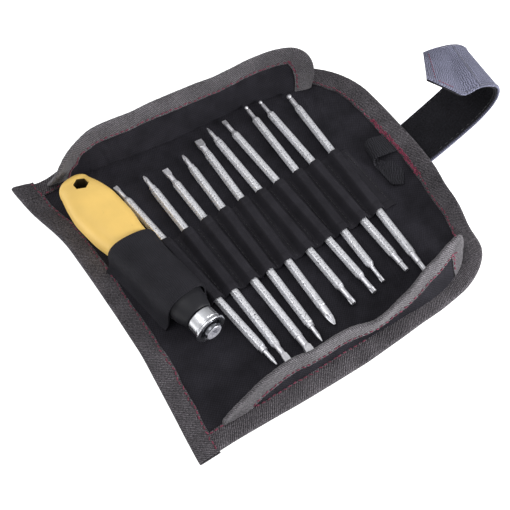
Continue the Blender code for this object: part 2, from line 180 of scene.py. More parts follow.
# ------------------------------------------------------------------ materials
class Nodes:
    """Short way to write a material's node tree."""

    def __init__(self, name):
        self.mat = bpy.data.materials.new(name)
        self.mat.use_nodes = True
        self.nt = self.mat.node_tree
        self.bsdf = self.nt.nodes["Principled BSDF"]

    def put(self, sock, v):
        if isinstance(v, bpy.types.NodeSocket):
            self.nt.links.new(v, sock)
        elif isinstance(v, (tuple, list)) and len(v) == 3 and sock.type == "RGBA":
            sock.default_value = (*v, 1.0)
        else:
            sock.default_value = v

    def m(self, op, a, b=None, c=None, clamp=False):
        n = self.nt.nodes.new("ShaderNodeMath")
        n.operation = op
        n.use_clamp = clamp
        for s, v in zip(n.inputs, (a, b, c)):
            if v is not None:
                self.put(s, v)
        return n.outputs[0]

    def fab(self):
        n = self.nt.nodes.new("ShaderNodeAttribute")
        n.attribute_name = "fab"
        s = self.nt.nodes.new("ShaderNodeSeparateXYZ")
        self.nt.links.new(n.outputs["Vector"], s.inputs[0])
        return n.outputs["Vector"], s.outputs[0], s.outputs[1], s.outputs[2]

    def obj(self):
        n = self.nt.nodes.new("ShaderNodeTexCoord")
        s = self.nt.nodes.new("ShaderNodeVectorMath")
        s.operation = "SCALE"
        self.nt.links.new(n.outputs["Object"], s.inputs[0])
        s.inputs["Scale"].default_value = 1000.0
        return s.outputs[0]

    def scaled(self, vec, xyz):
        s = self.nt.nodes.new("ShaderNodeVectorMath")
        s.operation = "MULTIPLY"
        self.nt.links.new(vec, s.inputs[0])
        s.inputs[1].default_value = xyz
        return s.outputs[0]

    def noise(self, vec, scale, detail=2.0, rough=0.5, dist=0.0):
        n = self.nt.nodes.new("ShaderNodeTexNoise")
        self.nt.links.new(vec, n.inputs["Vector"])
        n.inputs["Scale"].default_value = scale
        n.inputs["Detail"].default_value = detail
        n.inputs["Roughness"].default_value = rough
        n.inputs["Distortion"].default_value = dist
        return n.outputs["Fac"]

    def ramp(self, fac, lo, hi, a=0.0, b=1.0):
        n = self.nt.nodes.new("ShaderNodeMapRange")
        n.clamp = True
        self.put(n.inputs["Value"], fac)
        n.inputs["From Min"].default_value = lo
        n.inputs["From Max"].default_value = hi
        n.inputs["To Min"].default_value = a
        n.inputs["To Max"].default_value = b
        return n.outputs["Result"]

    def mix(self, fac, a, b):
        n = self.nt.nodes.new("ShaderNodeMix")
        n.data_type = "RGBA"
        self.put(n.inputs[0], fac)
        self.put(n.inputs[6], a)
        self.put(n.inputs[7], b)
        return n.outputs[2]

    def bump(self, height, dist, strength=1.0, prev=None):
        n = self.nt.nodes.new("ShaderNodeBump")
        n.inputs["Strength"].default_value = strength
        n.inputs["Distance"].default_value = dist * MM
        self.nt.links.new(height, n.inputs["Height"])
        if prev is not None:
            self.nt.links.new(prev, n.inputs["Normal"])
        return n.outputs["Normal"]

    def out(self, color, rough, normal=None, metal=0.0, spec=0.5, sheen=0.0, sheen_tint=(1, 1, 1), coat=0.0):
        b = self.bsdf.inputs
        self.put(b["Base Color"], color)
        self.put(b["Roughness"], rough)
        b["Metallic"].default_value = metal
        b["Specular IOR Level"].default_value = spec
        b["Sheen Weight"].default_value = sheen
        b["Sheen Roughness"].default_value = 0.5
        b["Sheen Tint"].default_value = (*sheen_tint, 1.0)
        b["Coat Weight"].default_value = coat
        b["Coat Roughness"].default_value = 0.25
        if normal is not None:
            self.nt.links.new(normal, b["Normal"])
        return self.mat


def scale3(c, k):
    return tuple(min(1.0, v * k) for v in c)


def cloth(name, base, kind="plain", pitch=0.6, depth=0.12, dark=0.55, light=1.35, patch=0.25, rough=(0.75, 0.95),
          sheen=0.15, fuzz=0.5, tint=(1, 1, 1), slant=1.0, spec=0.25, crease=0.0, speck=0.0):
    """Woven cloth. Its threads, patches of wear and loose fibres come from the cloth's own length and width."""
    g = Nodes(name)
    vec, u, v, w = g.fab()
    tau = 2 * math.pi / pitch
    wob = g.m("MULTIPLY", g.m("SUBTRACT", g.noise(vec, 0.35, 1.0), 0.5), pitch * 1.6)
    uu, vv = g.m("ADD", u, wob), g.m("SUBTRACT", v, wob)
    if kind == "plain":
        a = g.m("SINE", g.m("MULTIPLY", uu, tau / 2))
        b = g.m("SINE", g.m("MULTIPLY", vv, tau / 2))
        h = g.m("ADD", g.m("MULTIPLY", g.m("MULTIPLY", a, b), 0.5), 0.5)
    elif kind == "twill":
        d = g.m("SINE", g.m("MULTIPLY", g.m("ADD", uu, g.m("MULTIPLY", vv, slant)), tau))
        e = g.m("SINE", g.m("MULTIPLY", g.m("SUBTRACT", vv, g.m("MULTIPLY", uu, 0.3)), tau * 1.35))
        h = g.m("ADD", g.m("MULTIPLY", g.m("MULTIPLY", d, g.m("ADD", g.m("MULTIPLY", e, 0.35), 0.75)), 0.45), 0.5)
    elif kind == "rib":
        a = g.m("ABSOLUTE", g.m("SINE", g.m("MULTIPLY", uu, tau / 2)))
        b = g.m("SINE", g.m("MULTIPLY", vv, tau * 1.1))
        h = g.m("ADD", g.m("MULTIPLY", a, 0.8), g.m("MULTIPLY", b, 0.15))
    else:                                   # loops of a hook or elastic face
        h = g.ramp(g.noise(vec, 1.1 / pitch, 2.0, 0.6), 0.3, 0.7)
    fine = g.noise(vec, 2.4, 3.0, 0.65)
    slow = g.noise(vec, 0.09, 3.0, 0.55)
    slow2 = g.noise(g.scaled(vec, (1.0, 2.2, 1.0)), 0.022, 2.0, 0.5)
    tone = g.m("MULTIPLY", g.ramp(h, 0.0, 1.0, dark, light), g.ramp(fine, 0.25, 0.75, 1 - fuzz * 0.45, 1 + fuzz * 0.45))
    tone = g.m("MULTIPLY", tone, g.ramp(slow, 0.3, 0.7, 1 - patch, 1 + patch))
    tone = g.m("MULTIPLY", tone, g.ramp(slow2, 0.3, 0.7, 1 - patch * 0.7, 1 + patch * 0.7))
    if speck:
        tone = g.m("MULTIPLY", tone, g.ramp(g.noise(vec, 1.15, 2.0, 0.8), 0.34, 0.66, 1 - speck, 1 + speck))
    lint = g.ramp(g.noise(g.scaled(vec, (1.0, 2.3, 1.0)), 1.9, 1.0, 0.4), 0.70, 0.80, 0.0, 0.30)
    n = g.nt.nodes.new("ShaderNodeVectorMath")
    n.operation = "SCALE"
    n.inputs[0].default_value = base
    g.nt.links.new(tone, n.inputs["Scale"])
    col = g.mix(lint, n.outputs[0], scale3(base, 2.4))
    hh = g.m("ADD", h, g.m("MULTIPLY", fine, 0.5))
    nrm = g.bump(hh, depth)
    if crease:
        cr = g.noise(g.scaled(vec, (0.05, 0.02, 0.05)), 1.0, 3.0, 0.55, 1.5)
        nrm = g.bump(cr, crease, 1.0, nrm)
    return g.out(col, g.ramp(fine, 0.3, 0.7, *rough), nrm, spec=spec, sheen=sheen, sheen_tint=tint)


MAT = {}
MAT["binding"] = cloth("binding_tape_twill", (0.080, 0.0742, 0.0815), "twill", 0.98, 0.30, 0.26, 1.78, 0.26,
                       sheen=0.0, fuzz=1.6, slant=0.62, spec=0.06, speck=0.55)
# flap tape: the same tape cloth as the panel's binding with a raised base colour and lifted darks, a painted highlight
# for the light the raised flaps catch
MAT["binding_flap"] = cloth("binding_tape_flap_painted_lit", (0.100, 0.0935, 0.1025), "twill", 0.98, 0.30, 0.34, 1.70, 0.24,
                            sheen=0.22, fuzz=1.5, slant=0.62, spec=0.06, speck=0.42)
MAT["lining"] = cloth("lining_weave", (0.0185, 0.0176, 0.0222), "plain", 0.75, 0.08, 0.65, 1.35, 0.26, (0.60, 0.80),
                      sheen=0.0, fuzz=0.7, spec=0.07, crease=1.6)
MAT["shell"] = cloth("shell_canvas", (0.030, 0.029, 0.034), "plain", 0.95, 0.16, 0.65, 1.35, 0.18, sheen=0.0, fuzz=0.5, spec=0.08, crease=0.5)
MAT["band"] = cloth("pocket_ribbon", (0.0215, 0.0205, 0.0250), "rib", 0.62, 0.08, 0.65, 1.35, 0.18, (0.6, 0.8),
                    sheen=0.0, fuzz=0.7, spec=0.07)
MAT["elastic"] = cloth("loop_elastic", (0.0205, 0.0200, 0.0240), "rib", 0.9, 0.10, 0.7, 1.3, 0.14, (0.6, 0.8), sheen=0.0, fuzz=0.6, spec=0.07)
MAT["webbing"] = cloth("strap_webbing_rib", (0.135, 0.138, 0.195), "rib", 1.15, 0.30, 0.34, 1.52, 0.14, sheen=0.05, fuzz=1.1,
                       tint=(0.85, 0.88, 1.0), spec=0.1)
MAT["hook"] = cloth("hook_face", (0.0105, 0.0103, 0.0130), "loops", 0.9, 0.30, 0.45, 1.6, 0.2, (0.5, 0.75), sheen=0.0, spec=0.08)
MAT["tab"] = cloth("tab_webbing_rib", (0.022, 0.0215, 0.026), "rib", 1.05, 0.32, 0.35, 1.7, 0.15, (0.6, 0.85), sheen=0.0, spec=0.12)


def thread(name, base):
    g = Nodes(name)
    vec, u, v, w = g.fab()
    tw = g.m("SINE", g.m("MULTIPLY", g.m("ADD", u, g.m("MULTIPLY", v, 1.4)), 14.0))
    each = g.noise(g.scaled(vec, (0.0, 0.0, 0.37)), 3.0, 1.0)
    tone = g.m("MULTIPLY", g.ramp(tw, -1, 1, 0.65, 1.25), g.ramp(each, 0.3, 0.7, 0.45, 1.35))
    n = g.nt.nodes.new("ShaderNodeVectorMath")
    n.operation = "SCALE"
    n.inputs[0].default_value = base
    g.nt.links.new(tone, n.inputs["Scale"])
    return g.out(n.outputs[0], 0.6, g.bump(tw, 0.05), spec=0.3, sheen=0.1)


MAT["red"] = thread("red_thread", (0.215, 0.036, 0.072))
MAT["red_bright"] = thread("red_thread_dense", (0.25, 0.028, 0.072))
MAT["grey_thread"] = thread("grey_thread", (0.21, 0.21, 0.28))
MAT["black_thread"] = thread("black_thread", (0.02, 0.019, 0.023))


def steel():
    g = Nodes("blade_steel_plated")
    p = g.obj()
    n1 = g.noise(p, 1.55, 3.0, 0.62, 0.5)
    n2 = g.noise(p, 1.5, 3.0, 0.7)
    n3 = g.noise(p, 4.0, 2.0, 0.6)
    pits = g.ramp(n1, 0.58, 0.645, 0.0, 1.0)
    cloud = g.ramp(n2, 0.36, 0.64, 0.0, 1.0)
    base = g.mix(cloud, (0.66, 0.67, 0.72), (0.96, 0.96, 0.99))
    col = g.mix(pits, base, (0.09, 0.09, 0.11))
    rough = g.m("ADD", g.ramp(n3, 0.3, 0.7, 0.36, 0.54), g.m("MULTIPLY", pits, 0.2))
    h = g.m("SUBTRACT", g.m("MULTIPLY", g.m("ADD", n3, n2), 0.5), pits)
    return g.out(col, rough, g.bump(h, 0.10), metal=0.80, spec=0.4)


def bright_tip():
    g = Nodes("tip_steel_bright")
    p = g.obj()
    n1 = g.noise(g.scaled(p, (1.0, 0.25, 1.0)), 3.0, 3.0, 0.6)
    n2 = g.noise(p, 0.7, 2.0, 0.5)
    col = g.mix(g.ramp(n2, 0.35, 0.7), (0.92, 0.92, 0.96), (0.62, 0.62, 0.67))
    return g.out(col, g.ramp(n1, 0.3, 0.7, 0.30, 0.46), g.bump(n1, 0.025), metal=0.72, spec=0.5)


def chrome(name, base, lo, hi):
    g = Nodes(name)
    p = g.obj()
    n1 = g.noise(p, 2.5, 3.0, 0.6)
    n2 = g.noise(p, 0.5, 2.0, 0.5)
    col = g.mix(g.ramp(n2, 0.35, 0.65), base, scale3(base, 0.88))
    return g.out(col, g.ramp(n1, 0.3, 0.7, lo, hi), g.bump(n1, 0.01), metal=1.0)


def satin_end():
    """Ground steel end of the chuck, paler and duller than its rings."""
    g = Nodes("chuck_end_ground")
    p = g.obj()
    n1 = g.noise(g.scaled(p, (1.0, 0.4, 1.0)), 2.2, 3.0, 0.6)
    n2 = g.noise(p, 0.45, 2.0, 0.5)
    col = g.mix(g.ramp(n2, 0.35, 0.65), (0.56, 0.56, 0.61), (0.46, 0.46, 0.51))
    return g.out(col, g.ramp(n1, 0.3, 0.7, 0.42, 0.55), g.bump(n1, 0.02), metal=0.35, spec=0.6)


def moulded(name, base, rough, spec=0.5, depth=0.02, dirt=0.0, coat=0.0):
    g = Nodes(name)
    p = g.obj()
    fine = g.noise(p, 3.2, 3.0, 0.6)
    slow = g.noise(p, 0.07, 3.0, 0.5)
    sc = g.ramp(g.noise(g.scaled(p, (1.0, 0.35, 1.0)), 0.9, 3.0, 0.7), 0.66, 0.76)
    col = g.mix(g.ramp(slow, 0.3, 0.7), scale3(base, 0.95), scale3(base, 1.05))
    col = g.mix(g.m("MULTIPLY", sc, dirt), col, scale3(base, 0.45))
    return g.out(col, g.ramp(fine, 0.3, 0.7, *rough), g.bump(fine, depth), spec=spec, coat=coat)


MAT["steel"] = steel()
MAT["tip"] = bright_tip()
MAT["chrome"] = chrome("chuck_chrome_bright", (0.80, 0.81, 0.85), 0.27, 0.34)
MAT["chrome_dark"] = chrome("chuck_ring_satin", (0.74, 0.75, 0.79), 0.24, 0.32)
MAT["bush"] = satin_end()
# outer side of the socket: a near-black copy of the chrome, painted shade and dark reflection on the same steel as its
# end
MAT["bush_side"] = chrome("chuck_end_side_painted_shade", (0.20, 0.205, 0.225), 0.22, 0.32)
MAT["yellow"] = moulded("handle_yellow_moulded", (0.80, 0.535, 0.150), (0.40, 0.52), 0.3, 0.02, 0.25)
MAT["rubber"] = moulded("handle_black_rubber", (0.014, 0.014, 0.017), (0.42, 0.55), 0.22, 0.04, 0.3)
MAT["face"] = moulded("chuck_face_black", (0.03, 0.033, 0.04), (0.3, 0.45), 0.5, 0.02)


# wall of the hex hole through the grip: the grip's yellow darkened to a deep brown, painted shade inside the hole
def painted_shade_hole_wall():
    return moulded("hole_wall_painted_shade", (0.05, 0.035, 0.015), (0.5, 0.6), 0.3, 0.02)


# ------------------------------------------------------------------ the panel's surface
EX0, EX1, EY, ER = -91.0, 90.3, 89.3, 50.6       # outer edge before the warp
L_EDGE = [(-89.3, -94.8), (-80, -94.0), (-58, -92.0), (-29, -89.5), (-2.5, -89.3), (32, -89.9), (45, -90.3),
          (55, -92.1), (70, -95.9), (84, -97.9), (89.3, -98.4)]
T_EDGE = [(-91, 90.2), (-85, 88.0), (-80, 86.6), (-76, 86.2), (-71, 87.8), (-64, 90.3), (-40, 90.2), (0, 89.8), (34, 90.2), (48, 93.4), (64, 94.9), (76, 92.0)]
B_EDGE = [(-91, -88.0), (-75, -87.6), (-39, -88.4), (-5.5, -88.4), (18.4, -86.8), (27, -85.7), (37, -85.3), (46, -84.7), (53, -85.2), (60, -86.4), (70, -87.2)]
R_EDGE = [(-89, 0.8), (-80, 1.6), (-76, 0.6), (-72, -3.0), (-68, -6.8), (-64, -9.3), (-60, -10.7), (-54, -11.0), (-47, -10.8), (-40, -10.2), (-34, -8.5), (-28, -6.2), (-22, -3.9), (-15, -2.5), (-4, -1.6),
          (8, -1.0), (30, -1.2), (50, -1.2), (70, -0.8), (89, 0.0)]


def warp(x, y):
    x, y = np.asarray(x, float), np.asarray(y, float)
    dx = (smooth_tab(L_EDGE, y) - EX0) * sstep(-48, EX0, x)
    dx = dx + smooth_tab(R_EDGE, y) * sstep(52, EX1, x)
    dy = (smooth_tab(T_EDGE, x) - EY) * sstep(45, EY, y)
    dy = dy + (smooth_tab(B_EDGE, x) + EY) * sstep(-45, -EY, y)
    return x + dx, y + dy


def lift(x, y):
    """Height that the cloth has come up at its curled end."""
    x, y = np.asarray(x, float), np.asarray(y, float)
    t = np.clip((x - 60.0) / 29.5, 0, 1.1)
    z = 8.0 * t * t
    s = sstep(46, 92, x) * sstep(-12, -52, y)
    z = z + 6.5 * s * (1 - 0.55 * sstep(-62, -89, y))
    return z


def undulate(x, y):
    """Wrinkles of the cloth, kept low where something lies on it."""
    free = 1.0 - sstep(-58, -50, x) * (1 - sstep(58, 64, x)) * sstep(-78, -74, y) * (1 - sstep(72, 76, y))
    calm = 1.0 - 0.8 * gauss(x + 68, 16)
    amp = 0.14 + 0.42 * free * calm
    return amp * wave(x, y, 0.6) + 0.5 * amp * wave(y * 1.3, x * 0.8, 2.2) + free * 0.9 * sstep(60, 80, x) * wave(x * 0.6, y * 0.6, 1.1)


def on_panel(x, y, h, rough=1.0):
    """Points at height h over the panel's underside datum."""
    X, Y = warp(x, y)
    Z = h + lift(x, y) + rough * np.maximum(undulate(x, y), -0.2)
    return np.stack([X, Y, Z], -1)


def row_ends(y, inset):
    """Left and right ends of a row at depth y, inset from the outer edge."""
    r = ER - inset
    cy = EY - ER
    a = np.abs(y)
    right = np.where(a <= cy, EX1 - inset, EX1 - ER + np.sqrt(np.maximum(0, r * r - np.maximum(0, a - cy) ** 2)))
    return EX0 + inset, right


def panel_grid(nx, ny, inset):
    cy = EY - ER
    t = np.linspace(-1, 1, ny)
    y = (EY - inset) * np.sin(t * math.pi / 2 * 0.999) * 0.35 + (EY - inset) * t * 0.65
    u = np.linspace(0, 1, nx)
    u = 0.5 * u + 0.5 * (1 - np.cos(u * math.pi)) / 2
    Y = np.repeat(y[:, None], nx, 1)
    l, r = row_ends(y, inset)
    X = l + (r[:, None] - l) * u[None, :]
    return X, Y


X, Y = panel_grid(230, 220, 1.0)
G = on_panel(X, Y, 1.95)
lining = cloth_mesh("lining_sheet", G, 0.5, np.stack([X, Y], -1), MAT["lining"], N=np.broadcast_to(np.array([0, 0, 1.0]), G.shape))
X, Y = panel_grid(150, 140, 1.0)
G = on_panel(X, Y, 1.15, 0.8)
shell = cloth_mesh("shell_sheet", G, 0.75, np.stack([X, Y], -1), MAT["shell"], N=np.broadcast_to(np.array([0, 0, 1.0]), G.shape))
for ob, node, sl in ((lining, "inner_lining", "lining_cloth"), (shell, "outer_shell", "shell_cloth")):
    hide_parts(node)
    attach(ob, "pouch")


# ------------------------------------------------------------------ edge tape
def fold_profile(W, zt, zb, nleg=20, narc=9):
    """Middle line of a tape folded over an edge: distance in from the fold, height, normal and length along it."""
    r = (zt - zb) / 2
    zc = (zt + zb) / 2
    leg = np.linspace(W, r, nleg)
    ph = np.linspace(math.pi / 2, -math.pi / 2, narc + 2)[1:-1]
    n = np.concatenate([leg, r * (1 - np.cos(ph)), leg[::-1]])
    z = np.concatenate([np.full(nleg, zt), zc + r * np.sin(ph), np.full(nleg, zb)])
    nn = np.concatenate([np.zeros(nleg), -np.cos(ph), np.zeros(nleg)])
    nz = np.concatenate([np.ones(nleg), np.sin(ph), -np.ones(nleg)])
    v = np.concatenate([[0], np.cumsum(np.hypot(np.diff(n), np.diff(z)))])
    return n, z, nn, nz, v


def edge_path(step=0.45):
    """Outer edge, anticlockwise from the bottom left corner to the top left corner: x, y, outward normal, length."""
    cy = EY - ER
    cx = EX1 - ER
    pts = []
    for x in np.arange(EX0 + 0.4, cx, step):
        pts.append((x, -EY, 0, -1))
    for a in np.arange(-90, 0, math.degrees(step / ER)):
        q = math.radians(a)
        pts.append((cx + ER * math.cos(q), -cy + ER * math.sin(q), math.cos(q), math.sin(q)))
    for y in np.arange(-cy, cy, step):
        pts.append((EX1, y, 1, 0))
    for a in np.arange(0, 90, math.degrees(step / ER)):
        q = math.radians(a)
        pts.append((cx + ER * math.cos(q), cy + ER * math.sin(q), math.cos(q), math.sin(q)))
    for x in np.arange(cx, EX0 + 0.4, -step):
        pts.append((x, EY, 0, 1))
    p = np.array(pts)
    s = np.concatenate([[0], np.cumsum(np.hypot(np.diff(p[:, 0]), np.diff(p[:, 1])))])
    return p, s


TAPE_W, TAPE_T, GROOVE = 9.7, 0.62, 8.6


def tape(name, p, s, ztop, zlow, seed):
    prof = [fold_profile(TAPE_W, a, b) for a, b in zip(ztop, zlow)]
    n, z, nn, nz, v = (np.array([q[k] for q in prof]) for k in range(5))
    wv = wave(s * 1.0, s * 0.37, seed)[:, None]
    n = n + np.where(n > 4, (0.55 * wave(s * 0.8, s * 0.5, seed + 2) + 0.35 * wave(s * 2.3, s * 1.1, seed + 4))[:, None] * (n - 4) / 6, 0)
    onleg = nz > 0.5
    puck = (-0.20 * gauss(n - GROOVE, 0.6) + 0.09 * np.sin(2 * np.pi * s / 2.8)[:, None] * gauss(n - GROOVE, 1.5)
            + 0.16 * gauss(n - 4.6, 2.6) * (1 + 0.6 * wv) + 0.26 * np.maximum(wave(s * 1.9, s, seed + 1)[:, None], -0.5) * np.clip(n / 9, 0, 1)
            + 0.05 * np.sin(2 * np.pi * (s[:, None] + n * 0.9) / 3.9 + 3 * wv))
    z = z + np.where(onleg, puck, 0)
    out = []
    for side in (1, -1):
        a, b = n + side * nn * TAPE_T / 2, z + side * nz * TAPE_T / 2
        x = p[:, 0:1] - p[:, 2:3] * a
        y = p[:, 1:2] - p[:, 3:4] * a
        out.append(on_panel(x, y, b, 1.0 if side else 1.0))
    R = np.concatenate([out[0], out[1][:, ::-1]], 1)
    S = np.repeat(s[:, None], n.shape[1], 1)
    F = np.stack([S, v], -1)
    F = np.concatenate([F, F[:, ::-1]], 1)
    R[..., 2] = np.maximum(R[..., 2], 0.02)
    return rings(name, R, F, mat=MAT["binding"], angle=60), out[0]


def row_on(surface, s, k, pitch, lo, hi, lift_by=0.08):
    """Stitch places along column k of a surface grid."""
    line = surface[:, k]
    at = np.arange(lo, hi, pitch)
    C = np.stack([np.interp(at, s, line[:, q]) for q in range(3)], -1)
    a = np.stack([np.interp(at - 0.6, s, line[:, q]) for q in range(3)], -1)
    b = np.stack([np.interp(at + 0.6, s, line[:, q]) for q in range(3)], -1)
    N = normals(surface)[:, k]
    N = np.stack([np.interp(at, s, N[:, q]) for q in range(3)], -1)
    N /= np.linalg.norm(N, axis=1, keepdims=True)
    return C, b - a, N


def orient(C, T, N, ref, jit=1.0):
    """Stitches face ref, and lie a little unevenly as a machine leaves them on thick cloth."""
    N = np.where((np.sum(N * ref, 1) < 0)[:, None], -N, N)
    T = T / np.linalg.norm(T, axis=1, keepdims=True)
    B = np.cross(N, T)
    k = len(C)
    T = T + B * rng.normal(0, 0.26, k)[:, None] * jit
    C = C + B * rng.normal(0, 0.20, k)[:, None] * jit + T * rng.normal(0, 0.22, k)[:, None] * jit
    return C + N * 0.12, T, N


p, s = edge_path()
near = np.maximum(sstep(-80.5, -82, p[:, 0]), 0)
edge, surf = tape("edge_tape", p, s, np.full(len(s), 2.62), 0.36 + 0.72 * near, 0.3)
prof = fold_profile(TAPE_W, 2.62, 0.36)
K_TOP = int(np.argmin(np.abs(prof[0][:20] - GROOVE)))
K_LOW = len(prof[0]) - 1 - K_TOP
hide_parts("binding_top", "binding_bottom", "binding_right")

yl = np.arange(-EY - 0.9, EY + 0.9, 0.45)
pl = np.stack([np.full_like(yl, EX0), yl, np.full_like(yl, -1.0), np.zeros_like(yl)], -1)[::-1]
sl = np.arange(len(yl)) * 0.45
over = sstep(78.2, 80.6, np.abs(pl[:, 1]))
left, surf_l = tape("left_tape", pl, sl, 2.62 + 0.78 * over, np.full(len(sl), 0.36), 1.9)
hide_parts("binding_left")

up = np.array([0, 0, 1.0])
rows = []
total = s[-1]
C, T, N = orient(*row_on(surf, s, K_TOP, 2.8, 9.5, total - 9.5), up)
red_edge = stitches("edge_stitches", C, T, N, mat=MAT["red"])
C, T, N = orient(*row_on(surf, s, K_LOW, 2.8, 9.5, total - 9.5), -up)
C[:, 2] = np.maximum(C[:, 2], 0.2)
red_low = stitches("edge_stitches_under", C, T, N, r=0.16, mat=MAT["red"])
C, T, N = orient(*row_on(surf_l, sl, K_TOP, 2.8, 1.6, sl[-1] - 1.0), up)
red_left = stitches("left_stitches", C, T, N, mat=MAT["red"])
C, T, N = orient(*row_on(surf_l, sl, K_LOW, 2.8, 1.6, sl[-1] - 1.0), -up)
C[:, 2] = np.maximum(C[:, 2], 0.2)
red_left_low = stitches("left_stitches_under", C, T, N, r=0.16, mat=MAT["red"])
# bar of dense stitching that holds the strap
mid = int(np.argmin(np.abs(p[:, 1] - 0.0) + (p[:, 2] < 0.9) * 1e3))
bars = []
for k, ph in ((K_TOP - 1, 0.0), (K_TOP, 0.7), (K_TOP + 1, 1.2), (K_TOP + 2, 0.3)):
    bars.append(orient(*row_on(surf, s, k, 1.9, s[mid] - 19 + ph, s[mid] + 24), up, 1.3))
C, T, N = (np.concatenate([b[q] for b in bars]) for q in range(3))
red_bar = stitches("strap_bar_stitches", C, T, N, half=0.95, r=0.30, mat=MAT["red_bright"])
for ob, L, w in ((edge, total, [red_edge, red_low, red_bar]), (left, sl[-1], [red_left, red_left_low])):
    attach(ob, "pouch")
    for q in w:
        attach(q, "pouch")
    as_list(w)


# ------------------------------------------------------------------ flaps
class Leaf:
    """A curved cloth leaf standing on the lining: its root, lean and height are read from stations along it."""

    def __init__(self, root, lean, height, x0, x1, r0, r1, f0, f1, slant, bulge, wob):
        self.root, self.lean, self.height = root, lean, height
        self.x0, self.x1, self.r0, self.r1, self.f0, self.f1 = x0, x1, r0, r1, f0, f1
        self.slant, self.bulge, self.wob = slant, bulge, wob

    def H(self, x):
        x = np.asarray(x, float)
        h = smooth_tab(self.height, x, 2.5)
        d = h
        t = np.clip(1 - (x - self.x0) / self.r0, 0, 1)
        d = np.where(x < self.x0 + self.r0, self.f0 + (h - self.f0) * np.sqrt(np.maximum(0, 1 - t * t)), d)
        t = np.clip(1 - (self.x1 - x) / self.r1, 0, 1)
        return np.where(x > self.x1 - self.r1, np.minimum(d, self.f1 + (h - self.f1) * np.sqrt(np.maximum(0, 1 - t * t))), d)

    def at(self, x, d, m=0.0):
        x, d = np.asarray(x, float), np.asarray(d, float)
        th = np.radians(smooth_tab(self.lean, x, 2.0))
        h = smooth_tab(self.height, x, 2.5)
        q = np.clip(d / h, 0, 1.1)
        y0 = smooth_tab(self.root, x, 3.0)
        z0 = 2.45 + lift(x, y0) + 0.6 * sstep(-68, -76, x)
        b = self.bulge * np.sin(np.pi * np.clip(q, 0, 1)) + self.wob * wave(x * 1.5, x, 1.1) * q ** 1.5
        X = x + self.slant * sstep(50, self.x1, x) * d / h
        Yp = y0 + d * np.cos(th) - b * np.sin(th)
        Zp = z0 + d * np.sin(th) + b * np.cos(th)
        return np.stack([X, Yp, Zp], -1)

    def normal(self, x, d):
        e = 0.05
        a = self.at(x + e, d) - self.at(x - e, d)
        b = self.at(x, d + e) - self.at(x, d - e)
        n = np.cross(a, b)
        return n / np.linalg.norm(n, axis=-1, keepdims=True)

    def rim(self, step=0.45):
        """Free edge from the left foot to the right foot: x, d, inward direction and length."""
        x = np.concatenate([self.x0 + self.r0 * (1 - np.cos(np.linspace(0, math.pi / 2, 60))),
                            np.linspace(self.x0 + self.r0, self.x1 - self.r1, 300)[1:],
                            self.x1 - self.r1 + self.r1 * np.sin(np.linspace(0, math.pi / 2, 60))[1:]])
        d = self.H(x)
        x = np.concatenate([[self.x0], x, [self.x1]])
        d = np.concatenate([[0.4], d, [0.4]])
        s = np.concatenate([[0], np.cumsum(np.hypot(np.diff(x), np.diff(d)))])
        keep = np.concatenate([[True], np.diff(s) > 1e-6])
        x, d, s = x[keep], d[keep], s[keep]
        t = np.linspace(0, s[-1], int(s[-1] / step))
        X, D = np.interp(t, s, x), np.interp(t, s, d)
        k = np.ones(9) / 9
        pad = lambda q: np.convolve(np.pad(q, 4, mode="reflect", reflect_type="odd"), k, "valid")
        X, D = pad(X), pad(D)
        tx, td = np.gradient(X), np.gradient(D)
        L = np.hypot(tx, td)
        return X, D, td / L, -tx / L, t


